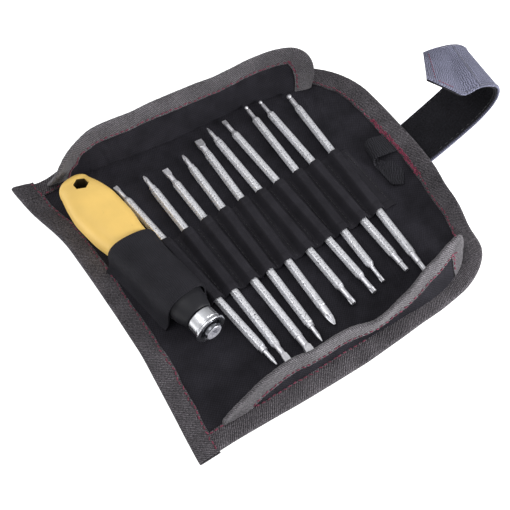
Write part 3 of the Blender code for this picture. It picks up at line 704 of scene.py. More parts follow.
def make_flap(tag, leaf):
    nx, nd = 260, 40
    u = np.linspace(0, 1, nx)
    u = 0.55 * u + 0.45 * (1 - np.cos(u * math.pi)) / 2
    x = leaf.x0 + 0.7 + (leaf.x1 - leaf.x0 - 1.4) * u
    top = np.maximum(leaf.H(x) - 1.0, 0.8)
    X = np.repeat(x[:, None], nd, 1)
    D = np.linspace(0, 1, nd)[None, :] * top[:, None]
    G = leaf.at(X, D)
    sheet = cloth_mesh(tag + "_cloth", G, 0.7, np.stack([X, D], -1), MAT["lining"], N=leaf.normal(X, D))
    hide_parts(tag)
    rx, rd, ix, idd, t = leaf.rim()
    W = 8.6
    n, m, nn, nm, v = fold_profile(W, 0.72, -0.72, 18, 9)
    out = []
    wv = wave(t, t * 0.4, 2.6 if tag == "top_flap" else 0.4)[:, None]
    for side in (1, -1):
        a = n + side * nn * TAPE_T / 2
        b = m + side * nm * TAPE_T / 2
        a = np.repeat(a[None], len(t), 0)
        b = np.repeat(b[None], len(t), 0)
        sg = np.sign(b)
        a = a + np.where(a > 3, (0.6 * wave(t * 0.9, t * 0.5, 5.1) + 0.3 * wave(t * 2.6, t, 2.2))[:, None] * (a - 3) / 6, 0)
        puck = (-0.18 * gauss(a - 7.6, 0.6) + 0.10 * np.sin(2 * np.pi * t / 2.8)[:, None] * gauss(a - 7.6, 1.4)
                + 0.20 * np.maximum(wave(t * 2.0, t, 1.3), -0.4)[:, None] * np.clip(a / 8, 0, 1)
                + 0.18 * gauss(a - 4.0, 2.4) * (1 + 0.6 * wv) + 0.05 * np.sin(2 * np.pi * (t[:, None] + a) / 3.7 + 3 * wv))
        b = b + sg * puck * (np.abs(nm)[None] > 0.5)
        if tag == "top_flap":
            a = a * (1 + 0.45 * sstep(-62, -73, rx))[:, None]
        reach = np.where(idd < -1e-3, (rd - 0.35) / np.maximum(-idd, 1e-3), 1e3)[:, None]
        a = np.minimum(a, np.maximum(reach, 0.0))
        xx = rx[:, None] + ix[:, None] * a
        dd = rd[:, None] + idd[:, None] * a
        dd = np.maximum(dd, 0.35)
        xx = np.clip(xx, leaf.x0 - 1, leaf.x1 + 1)
        out.append(leaf.at(xx, dd) + leaf.normal(xx, dd) * b[..., None])
    R = np.concatenate([out[0], out[1][:, ::-1]], 1)
    S = np.repeat(t[:, None], len(n), 1)
    F = np.stack([S, np.repeat(v[None], len(t), 0)], -1)
    F = np.concatenate([F, F[:, ::-1]], 1)
    tp = rings(tag + "_tape", R, F, mat=MAT["binding_flap"], angle=60)
    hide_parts(tag + "_binding")
    k = int(np.argmin(np.abs(n[:18] - 7.6)))
    st = []
    for kk, sgn, w in ((k, 1, "a"), (len(n) - 1 - k, -1, "b")):
        C, T, N = row_on(out[0], t, kk, 2.8, 3.0, t[-1] - 3.0)
        xx = np.interp(np.arange(3.0, t[-1] - 3.0, 2.8), t, rx + ix * 7.2)
        dd = np.interp(np.arange(3.0, t[-1] - 3.0, 2.8), t, rd + idd * 7.9)
        ok = dd > 0.5
        ref = leaf.normal(xx, np.maximum(dd, 0.4)) * sgn
        C, T, N = orient(C[ok], T[ok], N[ok], ref[ok])
        q = stitches(tag + "_stitches_" + w, C, T, N, mat=MAT["red"])
        st.append(q)
    for ob in [sheet, tp] + st:
        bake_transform(ob)
    a = float(np.mean(leaf.H(np.linspace(leaf.x0, leaf.x1, 200)))) * (leaf.x1 - leaf.x0) * 1e-6
    hmax = float(np.max(leaf.H(x)))
    return sheet, tp


TOP = Leaf(root=[(-80, 82.2), (-77, 81.6), (-63, 79.4), (-48, 77.5), (-34, 75.8), (-14, 73.6), (3, 73.6), (20, 73.6), (36, 72.6), (57, 68.4), (64, 66.4), (72, 63.0)],
           lean=[(-80.5, 120), (-77, 113), (-75, 107), (-70.2, 99), (-64.6, 92), (-59.2, 85), (-53.3, 77.8), (-46.9, 74.1),
                 (-38.9, 73.8), (-30.2, 75.1), (-16.1, 72.6), (2.2, 75.0), (18, 79.9), (40.9, 73.2), (52, 70), (60, 74), (66, 84), (72, 90)],
           height=[(-80, 26.5), (-72, 25.5), (-62, 24.4), (-40, 24.9), (-12, 26.7), (30, 26.1), (50, 27.2), (72, 27.0)], x0=-81.8, x1=69.6, r0=22, r1=9, f0=3.0, f1=7, slant=3.2, bulge=0.9, wob=0.35)
BOT = Leaf(root=[(-80, -80), (-60, -79.5), (-40, -79), (40, -79), (50, -77.6), (58, -74.5), (66, -69), (72, -62.5)],
           lean=[(-78, 82), (-73.8, 66), (-69.6, 66), (-65, 69), (-56, 71), (-43.6, 70.4), (-35, 70), (-28.4, 79), (-20.5, 78), (-13.3, 74.4),
                 (-5, 78.2), (4.5, 93), (11.6, 90), (21.1, 80.7), (28, 75.9), (41.1, 62), (55, 65.8), (63.8, 76), (69, 94)],
           height=[(-80, 2), (-78, 2.4), (-65, 8), (-55, 12), (-43, 14), (8, 14), (24, 15), (41, 18.5), (54, 21), (72, 21)], x0=-77, x1=65.4,
           r0=3, r1=6, f0=1.5, f1=8, slant=1.0, bulge=-0.7, wob=0.25)
make_flap("top_flap", TOP)
make_flap("bottom_flap", BOT)

# ------------------------------------------------------------------ blades
BLADE_LEN, HEX_AF, BLADE_Z, TIP_LEN = 130.0, 4.0, 4.5, 11.0
BLADES = [(-47.6, -3.5, -0.098), (-37.1, -5.6, -0.020), (-25.8, -7.9, -0.018), (-15.8, -4.6, 0.020), (-4.8, -0.5, 0.034),
          (6.5, 3.9, -0.009), (17.5, 3.5, -0.024), (28.7, 6.1, 0.040), (39.6, 5.0, 0.002), (51.0, 0.3, 0.064)]
PAIRS = [("slot_s", "needle"), ("cross_s", "slot_m"), ("slot_m", "slot_l"), ("cross_s", "needle"), ("slot_l", "cross_l"),
         ("needle", "star_m"), ("slot_s", "star_m"), ("ball_s", "star_s"), ("ball_s", "hex"), ("ball_l", "hex")]
NR = 72
TH = np.arange(NR) * 2 * np.pi / NR
# radius along the tip, from the shoulder outward
TIP_R = {
    "slot_s": [(0.3, 1.7), (1.8, 1.15), (7.2, 1.15), (11, 1.15)],
    "slot_m": [(0.3, 1.75), (1.6, 1.35), (5.6, 1.35), (8.0, 1.6), (11, 1.6)],
    "slot_l": [(0.3, 1.9), (1.4, 1.75), (5.0, 1.75), (8.0, 1.95), (11, 1.95)],
    "needle": [(0.3, 1.7), (2.0, 1.7), (2.3, 1.05), (7.6, 1.0), (9.4, 0.62), (10.8, 0.32), (11, 0.18)],
    "cross_s": [(0.3, 1.75), (2.2, 1.75), (2.5, 1.25), (7.4, 1.2), (9.4, 0.9), (10.8, 0.42), (11, 0.28)],
    "cross_l": [(0.3, 1.95), (2.0, 1.95), (6.6, 1.9), (9.2, 1.35), (10.8, 0.6), (11, 0.45)],
    "star_s": [(0.3, 1.7), (1.6, 1.0), (8.2, 1.0), (9.0, 1.1), (10.8, 1.1), (11, 1.0)],
    "star_m": [(0.3, 1.8), (1.6, 1.3), (7.4, 1.3), (8.4, 1.5), (10.8, 1.5), (11, 1.35)],
    "hex": [(0.3, 1.8), (1.4, 1.5), (6.0, 1.5), (6.3, 1.25), (10.8, 1.25), (11, 1.1)],
    "ball_s": [(0.3, 1.7), (1.4, 1.05), (7.6, 1.0), (8.35, 0.72)],
    "ball_l": [(0.3, 1.85), (1.4, 1.4), (7.2, 1.35), (8.0, 0.95)],
}


def hex_r(af, th, cut):
    k = (th + math.pi / 6) % (math.pi / 3) - math.pi / 6
    k = (th % (math.pi / 3)) - math.pi / 6
    r = af / 2 / np.cos(k)
    return np.minimum(r, af / math.sqrt(3) - cut)


def tip_ring(kind, d):
    r = float(interp(TIP_R[kind], d))
    if kind.startswith("ball"):
        R = 1.05 if kind == "ball_s" else 1.4
        neck = 8.35 if kind == "ball_s" else 8.0
        c = 9.65 if kind == "ball_s" else 9.55
        if d > neck:
            q = (d - c) / (11.0 - c)
            ball = R * math.sqrt(max(0.0, 1 - min(1.0, abs((d - c) / (R * 1.03))) ** 2))
            r = max(ball, 0.7 * R * (1 - sstep(neck, neck + 0.7, d)) if d < c else 0.12)
            rr = np.maximum(hex_r(2 * r * 0.95, TH, 0.08 * r), r * 0.93)
            return np.stack([rr * np.cos(TH), rr * np.sin(TH)], -1)
    c, s = np.cos(TH), np.sin(TH)
    if kind.startswith("slot"):
        a = 7.2 if kind == "slot_s" else 5.2
        end = {"slot_s": 0.24, "slot_m": 0.30, "slot_l": 0.36}[kind]
        w = float(sstep(a, a + 1.2, d))
        t = r + (end - r) * min(1.0, max(0.0, (d - a) / (11.0 - a))) ** 0.62
        m = np.maximum(np.abs(c), np.abs(s))
        flat = np.stack([r * c / m, t * s / m], -1)
        round_ = np.stack([r * c, np.minimum(r, 9) * s], -1)
        round_[:, 1] = np.clip(round_[:, 1], -max(t, 0.05), max(t, 0.05))
        return round_ * (1 - w) + flat * w
    rr = np.full(NR, r)
    if kind.startswith("cross"):
        a = 5.6 if kind == "cross_s" else 4.4
        f = float(sstep(a, a + 2.4, d))
        q = np.abs(((TH - math.pi / 4) + math.pi / 4) % (math.pi / 2) - math.pi / 4)
        rr = r * (1 - 0.52 * f * np.exp(-(q / 0.40) ** 2))
    if kind.startswith("star"):
        a = 8.6
        f = float(sstep(a - 0.6, a + 0.2, d))
        rr = r * (1 - 0.24 * f * (0.5 - 0.5 * np.cos(6 * TH)) ** 0.8)
    if kind == "hex":
        f = float(sstep(6.1, 6.4, d))
        rr = r * (1 - f) + np.minimum(hex_r(2.35, TH, 0.05), r + 0.1) * f
    return np.stack([rr * c, rr * s], -1)


HEXR = hex_r(HEX_AF, TH, 0.14)
HEXP = np.stack([HEXR * np.cos(TH), HEXR * np.sin(TH)], -1)
for i, ((cx, cy, drift), (tk, bk)) in enumerate(zip(BLADES, PAIRS), 1):
    L = math.hypot(1, drift)
    ax = np.array([drift / L, 1 / L, 0])
    side = np.array([ax[1], -ax[0], 0])
    ctr = np.array([cx, cy, BLADE_Z])
    shank = BLADE_LEN / 2 - TIP_LEN
    sec = []
    ds = np.unique(np.concatenate([np.linspace(0.3, 11, 66), [q[0] for q in TIP_R[bk]]]))
    for d in ds[::-1]:
        sec.append((-shank - d, tip_ring(bk, d), 1))
    for q, k in ((0.0, 0.84), (0.12, 0.88), (0.45, 0.985), (0.7, 1.0)):
        sec.append((-shank + q, HEXP * k, 0))
    for q in np.linspace(-shank + 1.2, shank - 1.2, 90):
        sec.append((q, HEXP, 0))
    for q, k in ((0.7, 1.0), (0.45, 0.985), (0.12, 0.88), (0.0, 0.84)):
        sec.append((shank - q, HEXP * k, 0))
    ds = np.unique(np.concatenate([np.linspace(0.3, 11, 66), [q[0] for q in TIP_R[tk]]]))
    for d in ds:
        sec.append((shank + d, tip_ring(tk, d), 1))
    R = np.array([ctr + ax * q + side * P[:, :1] + np.array([0, 0, 1.0]) * P[:, 1:] for q, P, _ in sec])
    kinds = [k for _, _, k in sec]
    ob = rings("bit_%02d" % i, R, None, angle=32, mat=MAT["steel"])
    ob.data.materials.append(MAT["tip"])
    nf = (len(sec) - 1) * NR
    mi = np.zeros(len(ob.data.polygons), np.int32)
    for u in range(len(sec) - 1):
        if kinds[u] or kinds[u + 1]:
            mi[u * NR:(u + 1) * NR] = 1
    mi[nf:] = 1
    ob.data.polygons.foreach_set("material_index", mi)
    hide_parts("blade_%02d" % i)
    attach(ob, "blade_%02d" % i)

# ------------------------------------------------------------------ pocket band
BX0, BX1, BY0, BY1 = -53.4, 60.0, -25.0, 18.0


def channel_f(x, y):
    f = np.zeros(np.broadcast(x, y).shape)
    for cx, cy, drift in BLADES:
        d = np.abs(x - (cx + drift * (y - cy)))
        f = np.maximum(f, 1 - sstep(1.5, 4.5, d))
    return f


ny = 90
yb = np.linspace(BY0, BY1, ny)
xb = np.linspace(BX0, BX1, 520)
X = np.repeat(xb[None, :], ny, 0)
Y = np.repeat(yb[:, None], 520, 1)
sag = 0.35 * gauss(Y - BY0, 2.0) + 0.35 * gauss(Y - BY1, 2.0)
Z = 2.85 + 4.2 * channel_f(X, Y) + 0.10 * wave(X * 1.5, Y * 1.2, 0.4)
Yw = Y + 0.7 * wave(X * 1.2, X * 0.3, 1.4) * (Y - BY0) / (BY1 - BY0) + 0.5 * wave(X, X * 0.2, 3.3) * (BY1 - Y) / (BY1 - BY0)
hem = np.maximum(gauss(Y - (BY0 + 2.2), 2.0), gauss(Y - (BY1 - 2.2), 2.0))
row_hem = 0.22 * np.minimum(1, hem * 1.3)
for e in (BY0 + 4.4, BY1 - 4.4):
    Z = Z - 0.16 * gauss(Y - e, 0.45)
G = np.stack([X, Yw, Z + row_hem * 0.5 + lift(X, Y)], -1)
run = np.concatenate([[0], np.cumsum(np.hypot(np.diff(X[45]), np.diff(Z[45])))])
U = np.repeat(run[None, :], ny, 0)
band = cloth_mesh("pocket_ribbon", G, 0.55 + row_hem, np.stack([Y, U], -1), MAT["band"])
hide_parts("pocket_band")
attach(band, "pouch")
C, T, N = [], [], []
mids = []
xs_mid = [[b[0] + b[2] * (0 - b[1]) for b in BLADES]]
for k in range(len(BLADES) - 1):
    for y in np.arange(BY0 + 1.6, BY1 - 1.0, 2.6):
        a, b = (BLADES[q][0] + BLADES[q][2] * (y - BLADES[q][1]) for q in (k, k + 1))
        C.append(((a + b) / 2, y, 3.14))
        T.append((0.02, 1, 0))
        N.append((0, 0, 1))
for y in np.arange(BY0 + 1.6, BY1 - 1.0, 2.6):
    C.append((58.3, y, 3.14))
    T.append((0, 1, 0))
    N.append((0, 0, 1))
thr = stitches("pocket_stitches", C, T, N, r=0.2, mat=MAT["black_thread"])
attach(thr, "pouch")

# ------------------------------------------------------------------ handle
HS = -0.138
hl = math.hypot(1, HS)
H_AX = np.array([-HS / hl, -1 / hl, 0])
H_SIDE = np.array([-H_AX[1], H_AX[0], 0])
H_START = np.array([-70.3 + HS * 26.0, 71.0, 12.0])
HALF_W = [(0.0, 1.2), (1.0, 4.6), (3.0, 7.0), (6.0, 8.9), (14.0, 10.9), (24.0, 12.35), (36.0, 12.2), (49.5, 10.3), (60.0, 9.9), (75.0, 10.0)]
HALF_H = [(0.0, 0.8), (1.0, 3.2), (3.0, 5.2), (6.0, 6.9), (14.0, 8.8), (24.0, 9.5), (36.0, 9.5), (49.5, 9.2), (60.0, 9.1), (75.0, 9.3)]


def table(pairs, s):
    if s <= pairs[0][0]:
        return pairs[0][1]
    for (s0, v0), (s1, v1) in zip(pairs, pairs[1:]):
        if s <= s1:
            t = (s - s0) / (s1 - s0)
            return v0 + (v1 - v0) * t * t * (3 - 2 * t)
    return pairs[-1][1]


def pchip(pairs, s):
    """Smooth curve through the stations with no overshoot."""
    x = np.array([q[0] for q in pairs], float)
    y = np.array([q[1] for q in pairs], float)
    h = np.diff(x)
    dl = np.diff(y) / h
    m = np.zeros(len(x))
    for k in range(1, len(x) - 1):
        if dl[k - 1] * dl[k] > 0:
            w1, w2 = 2 * h[k] + h[k - 1], h[k] + 2 * h[k - 1]
            m[k] = (w1 + w2) / (w1 / dl[k - 1] + w2 / dl[k])
    m[0], m[-1] = dl[0], dl[-1]
    s = np.asarray(s, float)
    i = np.clip(np.searchsorted(x, s) - 1, 0, len(x) - 2)
    t = (s - x[i]) / h[i]
    return ((2 * t ** 3 - 3 * t ** 2 + 1) * y[i] + (t ** 3 - 2 * t ** 2 + t) * h[i] * m[i]
            + (-2 * t ** 3 + 3 * t ** 2) * y[i + 1] + (t ** 3 - t ** 2) * h[i] * m[i + 1])


def hp(s, u, v):
    s, u, v = np.broadcast_arrays(np.asarray(s, float), np.asarray(u, float), np.asarray(v, float))
    return H_START + H_AX * s[..., None] + H_SIDE * u[..., None] + np.array([0, 0, 1.0]) * v[..., None]


def oval(s, a, b, power, n=112):
    t = 2 * np.pi * (np.arange(n) + 0.5) / n
    c, d = np.cos(t), np.sin(t)
    return hp(s, a * np.sign(c) * np.abs(c) ** (2 / power), b * np.sign(d) * np.abs(d) ** (2 / power))


nose_r = np.sin(np.linspace(0, np.pi / 2, 22))
ss = np.concatenate([6.0 * (1 - np.cos(np.linspace(0.06, np.pi / 2, 22))), np.arange(6.8, 74.6, 0.8), [74.7, 74.9, 75.0]])
W0 = [(6.0, 8.9), (14.0, 10.9), (24.0, 12.3), (36.0, 12.1), (49.5, 10.3), (60.0, 9.9), (75.0, 10.0)]
H0 = [(6.0, 6.9), (14.0, 8.8), (24.0, 9.5), (36.0, 9.5), (49.5, 9.2), (60.0, 9.1), (75.0, 9.3)]
sec = []
for q in ss:
    if q < 6.0:
        k = math.sqrt(max(0.0, 1 - (1 - q / 6.0) ** 2)) ** 1.0
        a, b = 8.9 * k ** 0.98, 6.9 * k ** 0.98
        lead = (6 - q) / 6
        a, b = a * (1 - 0.0 * lead), b
    else:
        a, b = float(pchip(W0, q)), float(pchip(H0, q))
    if q > 74.65:
        a, b = a - (q - 74.6) * 0.6, b - (q - 74.6) * 0.6
    sec.append(oval(q, a, b, 2.55 + 0.55 * float(sstep(4, 22, q))))
body = rings("grip_yellow", np.array(sec), None, angle=35, mat=MAT["yellow"])
hexa = [math.radians(60 * k) for k in range(6)]


def hole_cutter():
    af, big = 6.6, 8.1
    rows = []
    for v, w in ((-14, big + 6), (-8.0, big - 0.6), (-6.9, af), (6.9, af), (8.0, big - 0.6), (14, big + 6)):
        r = w / math.sqrt(3)
        rows.append([hp(10.0 + r * math.cos(a), 1.4 + r * math.sin(a), v) for a in hexa])
    return rings("hole_cutter", np.array(rows), None, angle=30, mat=MAT["yellow"])


cut = hole_cutter()
md = body.modifiers.new("hole", "BOOLEAN")
md.operation = "DIFFERENCE"
md.solver = "EXACT"
md.object = cut
bpy.context.view_layer.update()
dg = bpy.context.evaluated_depsgraph_get()
me = bpy.data.meshes.new_from_object(body.evaluated_get(dg))
body.modifiers.clear()
body.data = me
bpy.data.objects.remove(cut)
me.polygons.foreach_set("use_smooth", np.ones(len(me.polygons), bool))
me.set_sharp_from_angle(angle=math.radians(35))
while len(me.materials) > 1:
    me.materials.pop()
me.materials.append(painted_shade_hole_wall())
# faces inside the hex hole take the painted-shade wall material
for pl_ in me.polygons:
    c = np.array(pl_.center) / MM - H_START
    sx, sy, sz = c @ H_AX, c @ H_SIDE, c[2]
    n = np.array(pl_.normal)
    inside = math.hypot(sx - 10.0, sy - 1.4) < 4.0 and abs(n[2]) < 0.2 and abs(sz) < 6.9
    pl_.material_index = 1 if inside else 0
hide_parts("handle_body")
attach(body, "handle")

NOSE = [(75.3, 9.6), (75.6, 10.0), (80.0, 10.3), (87.0, 10.4), (93.0, 9.9), (98.0, 8.9), (101.5, 7.8), (103.1, 7.1), (103.4, 6.8)]
NOSEH = [(75.3, 8.9), (75.6, 9.3), (80.0, 9.45), (87.0, 9.5), (93.0, 9.3), (98.0, 8.7), (101.5, 7.8), (103.1, 7.1), (103.4, 6.8)]
sec = []
for q in np.unique(np.concatenate([[75.3, 75.45, 75.6], np.arange(76, 103, 0.6), [103.1, 103.25, 103.4]])):
    k = float(np.clip((q - 75.3) / 28, 0, 1))
    groove = 0.22 * float(gauss(q - 95.2, 0.45))
    sec.append(oval(q, float(pchip(NOSE, q)) - groove, float(pchip(NOSEH, q)) - groove, 2.45 - 0.45 * k))
nose = rings("grip_nose", np.array(sec), None, angle=35, mat=MAT["rubber"])
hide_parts("handle_nose")
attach(nose, "handle")


def soften(prof, r=0.16, n=4):
    """Profile with its corners rounded."""
    P = np.array(prof, float)
    out = []
    m = len(P)
    for i in range(m):
        a, b, c = P[i - 1], P[i], P[(i + 1) % m]
        la, lc = np.linalg.norm(a - b), np.linalg.norm(c - b)
        k = min(r, la * 0.4, lc * 0.4)
        p0, p1 = b + (a - b) / la * k, b + (c - b) / lc * k
        for t in np.linspace(0, 1, n):
            out.append((1 - t) ** 2 * p0 + 2 * t * (1 - t) * b + t * t * p1)
    return np.array(out)


def turned(name, prof, mat, nseg=128, r=0.16):
    pr = soften(prof, r)
    a = 2 * np.pi * np.arange(nseg) / nseg
    R = np.array([hp(pr[:, 0], pr[:, 1] * math.cos(q), pr[:, 1] * math.sin(q)) for q in a])
    return rings(name, R, None, closed=True, angle=30, mat=mat)


collar = turned("collar_ring", [(103.7, 6.4), (104.4, 7.0), (107.0, 7.05), (109.4, 7.15), (109.6, 6.95), (109.9, 6.95), (110.1, 7.2),
                                (110.6, 7.2), (110.6, 6.3), (108.4, 6.3), (108.4, 3.6), (103.7, 3.6)], MAT["chrome"])
flange = turned("flange_ring", [(110.9, 7.6), (111.2, 8.0), (111.9, 8.0), (112.2, 7.6), (112.2, 5.9), (110.9, 5.9)], MAT["chrome_dark"], r=0.2)
facer = turned("chuck_plate", [(108.7, 6.0), (110.3, 6.0), (110.3, 4.9), (110.05, 4.8), (110.05, 4.3), (110.3, 4.2), (110.3, 3.6), (108.7, 3.6)], MAT["face"], r=0.1)
# socket with a hexagonal bore
nseg = 144
a = 2 * np.pi * np.arange(nseg) / nseg
R = []
for q in a:
    hr = float(hex_r(4.3, np.array([q]), 0.0)[0])
    prof = [(103.9, 3.3), (110.5, 3.3), (110.6, 3.4), (110.6, 4.3), (110.68, 4.38), (113.7, 4.4), (114.05, 4.3), (114.3, 4.12), (114.5, 3.9), (114.5, hr + 0.22),
            (114.44, hr + 0.07), (114.3, hr), (109.0, hr), (103.9, hr)]
    R.append(np.array([hp(x, r * math.cos(q), r * math.sin(q)) for x, r in prof]))
sock = rings("chuck_bush", np.array(R), None, closed=True, angle=28, mat=MAT["bush"])
sock.data.materials.append(MAT["bush_side"])
# the socket's end face and bore keep the ground steel; its outer sides take the painted-shade dark chrome
for pl_ in sock.data.polygons:
    c = np.array(pl_.center) / MM - H_START
    pl_.material_index = 0 if c @ H_AX > 114.25 or math.hypot(c @ H_SIDE, c[2]) < 2.9 else 1
for ob, node, slo in ((collar, "chuck_collar", "chuck_chrome"), (flange, "chuck_flange", "chuck_chrome"), (facer, "chuck_face", "handle_black"),
                      (sock, "chuck_socket", "chuck_chrome")):
    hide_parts(node)
    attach(ob, "handle")

# ------------------------------------------------------------------ handle loop
LOOP_W = [(51.5, 11.9), (60.0, 10.9), (70.0, 10.7), (88.9, 10.9), (94.4, 10.5)]
ns, nk = 110, 150
S = np.linspace(50.6, 94.6, ns)
rows, uv = [], []
for q in S:
    w = float(pchip(LOOP_W, np.clip(q, 51.5, 94.4))) + 0.42
    t = np.linspace(0, np.pi, 110)
    c, d = np.cos(t), np.sin(t)
    u = w * np.sign(c) * np.abs(c) ** 0.8
    v = (9.95 + 0.42 - 0.45 * float(sstep(86, 95, q))) * np.abs(d) ** 0.8
    foot = 2.85 - 12.0
    k = np.linspace(0, 1, 22)[:-1]
    flare = 2.6
    ur = w + flare * (1 - k) ** 2.6 + 0.0
    vr = foot + (0 - foot) * k ** 1.35
    uu = np.concatenate([ur, u, -ur[::-1]])
    vv = np.concatenate([vr, v, vr[::-1]])
    rip = 0.16 * wave(np.full_like(uu, q * 2.0), vv * 2, 0.9) + 0.22 * np.sin(q / 3.1 + 0.25 * vv) * gauss(vv - 1.0, 5.0)
    uu = uu + np.maximum(rip, -0.12) * np.sign(uu) * (np.abs(uu) > 6)
    skew = (0.17 * uu + 2.0 + 0.7 * wave(np.full_like(uu, q * 0.4), vv + uu * 0.5, 1.0)) * (1 - sstep(51, 66, q))
    rows.append(hp(q + skew, uu, vv))
    ln = np.concatenate([[0], np.cumsum(np.hypot(np.diff(uu), np.diff(vv)))])
    uv.append(np.stack([ln, np.full_like(ln, q)], -1))
G = np.array(rows)
uv = np.array(uv)
hemS = np.maximum(gauss(S - 52.0, 1.6), gauss(S - 93.4, 1.6))
loop = cloth_mesh("handle_elastic", G, (0.75 + 0.12 * hemS)[:, None] * np.ones(G.shape[1]), uv, MAT["elastic"])
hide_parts("handle_loop")
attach(loop, "pouch")
C, T, N = [], [], []
for q in np.arange(52.5, 93.8, 2.6):
    for sd in (-1, 1):
        w = float(pchip(LOOP_W, q)) + 0.42 + 1.9
        C.append(hp(q, sd * w, 3.45 - 12.0))
        T.append(H_AX)
        N.append(np.array([0, 0, 1.0]))
lt = stitches("elastic_stitches", C, T, N, r=0.2, mat=MAT["black_thread"])
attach(lt, "pouch")

# ------------------------------------------------------------------ webbing tab


def catmull(P, n):
    P = np.array(P, float)
    P = np.concatenate([[2 * P[0] - P[1]], P, [2 * P[-1] - P[-2]]])
    out = []
    seg = len(P) - 3
    for t in np.linspace(0, seg, n):
        i = min(int(t), seg - 1)
        f = t - i
        a, b, c, d = P[i:i + 4]
        out.append(0.5 * ((2 * b) + (-a + c) * f + (2 * a - 5 * b + 4 * c - d) * f * f + (-a + 3 * b - 3 * c + d) * f ** 3))
    return np.array(out)


def ribbon(name, A, B, t, mat, off=0.0, n=240, m=40, cup=0.0, taper=None):
    """Strip between two edge lines, offset by off along its normal."""
    a, b = catmull(A, n), catmull(B, n)
    w = np.linspace(0, 1, m)[None, :, None]
    G = a[:, None] * (1 - w) + b[:, None] * w
    N = normals(G)
    G = G + N * (off + cup * np.sin(np.pi * w))
    ml = np.linalg.norm(np.diff((a + b) / 2, axis=0), axis=1)
    sl_ = np.concatenate([[0], np.cumsum(ml)])
    W = np.linalg.norm(a - b, axis=1)
    uv_ = np.stack([np.repeat(sl_[:, None], m, 1), w[..., 0] * W[:, None]], -1)
    G = G + N * 0.0
    return cloth_mesh(name, G, t, uv_, mat, N=N), G, N, float(sl_[-1]), float(W.mean())


tabA = [(70.3, -17.9, 4.6), (67.5, -16.0, 4.4), (65.4, -13.3, 4.1), (65.6, -3.3, 3.7), (65.8, -5.0, 3.3), (65.7, -0.6, 4.2), (66.0, 1.6, 5.6), (67.4, 2.2, 7.0), (71.0, 1.4, 7.7), (77.3, 0.7, 7.2), (80.6, -0.3, 6.3)]
tabB = [(79.4, -6.5, 4.6), (76.6, -4.1, 4.4), (73.5, -1.5, 4.1), (70.2, 1.5, 3.7), (68.9, 8.2, 3.3), (68.4, 12.0, 4.0), (69.2, 13.8, 5.3), (71.0, 14.5, 6.4), (73.4, 14.3, 7.0), (77.8, 13.0, 7.0), (81.4, 13.2, 6.3)]
tab, *_r = ribbon("webbing_tab", tabA, tabB, 0.95, MAT["tab"], n=200, m=40)
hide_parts("webbing_loop")
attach(tab, "pouch")

# ------------------------------------------------------------------ strap
nearP = [(85.0, -14.0, 4.6), (90.4, -14.5, 6.3), (100, -14.5, 10.2), (110, -14.5, 14.9), (118.4, -14.5, 19.4), (124.2, -14.5, 24.2), (127.8, -14.5, 29.6),
         (128.2, -14.5, 35.4), (125.4, -14.5, 40.6), (118.5, -14.5, 45.2), (112.4, -14.5, 47.2), (103.2, -14.6, 48.0), (96.2, -12.6, 53.6), (90.5, -10.4, 58.4), (83.2, -6.6, 63.9)]
farP = [(86.0, 13.5, 4.6), (91.5, 13.5, 6.2), (100, 13.5, 10.4), (109.5, 13.5, 15.2), (118.3, 13.5, 20.2), (124.2, 13.5, 25.4), (128.0, 13.5, 31.6),
        (129.0, 13.5, 38.0), (126.8, 13.5, 43.6), (121.6, 13.5, 48.2), (115.2, 13.6, 51.4), (112.0, 13.7, 52.4), (108.6, 13.8, 53.1), (104.4, 14.0, 53.6), (99.6, 14.2, 53.7)]


def short_of(P, dy):
    """Edge line moved in by dy and stopped a little before the strap's end."""
    e = 0.82 * np.array(P[-1], float) + 0.18 * np.array(P[-2], float)
    return [(q[0], q[1] + dy, q[2]) for q in P[:-1] + [tuple(e)]]


web, GW, NW, LW, WW = ribbon("strap_web", nearP, farP, 0.95, MAT["webbing"], off=-0.58, n=300, m=60, cup=0.0)
hook, GH, NH, LH, WH = ribbon("strap_hook_face", short_of(nearP, 0.9), short_of(farP, -0.9), 1.05,
                              MAT["hook"], off=0.62, n=300, m=60, cup=0.0)
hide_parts("strap_webbing")
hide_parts("strap_hook_tape")


def on_strip(G, N, side, pts, off):
    """Stitches on a strip at fractions (along, across), given as point pairs."""
    n, m = G.shape[:2]
    C, T, NN = [], [], []
    for (a0, b0), (a1, b1), count in pts:
        for k in range(count):
            f0, f1 = k / count, (k + 0.7) / count
            pp = []
            for f in (f0, f1):
                i = int(round((a0 + (a1 - a0) * f) * (n - 1)))
                j = int(round((b0 + (b1 - b0) * f) * (m - 1)))
                pp.append((G[i, j], N[i, j]))
            C.append((pp[0][0] + pp[1][0]) / 2 + side * pp[0][1] * off)
            T.append(pp[1][0] - pp[0][0] + 1e-6)
            NN.append(side * pp[0][1])
    return C, T, NN


C, T, NN = on_strip(GW, NW, -1, [((0.962, 0.10), (0.962, 0.92), 10), ((0.86, 0.05), (0.955, 0.05), 6), ((0.06, 0.06), (0.06, 0.94), 10)], 0.5)
stw = stitches("strap_stitches", C, T, NN, half=0.85, r=0.24, mat=MAT["red"])
C, T, NN = on_strip(GW, NW, -1, [((0.70, 0.05), (0.70, 0.95), 14), ((0.695, 0.04), (0.69, 0.96), 14), ((0.20, 0.03), (0.84, 0.03), 40),
                                 ((0.20, 0.97), (0.84, 0.97), 38)], 0.5)
stg = stitches("strap_grey_stitches", C, T, NN, half=0.95, r=0.24, mat=MAT["grey_thread"])
C, T, NN = on_strip(GH, NH, 1, [((0.12, 0.04), (0.98, 0.04), 36), ((0.12, 0.96), (0.98, 0.96), 32)], 0.6)
sth = stitches("strap_hook_stitches", C, T, NN, half=0.95, r=0.2, mat=MAT["black_thread"])
for ob in (web, hook, stw, stg, sth):
    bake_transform(ob)

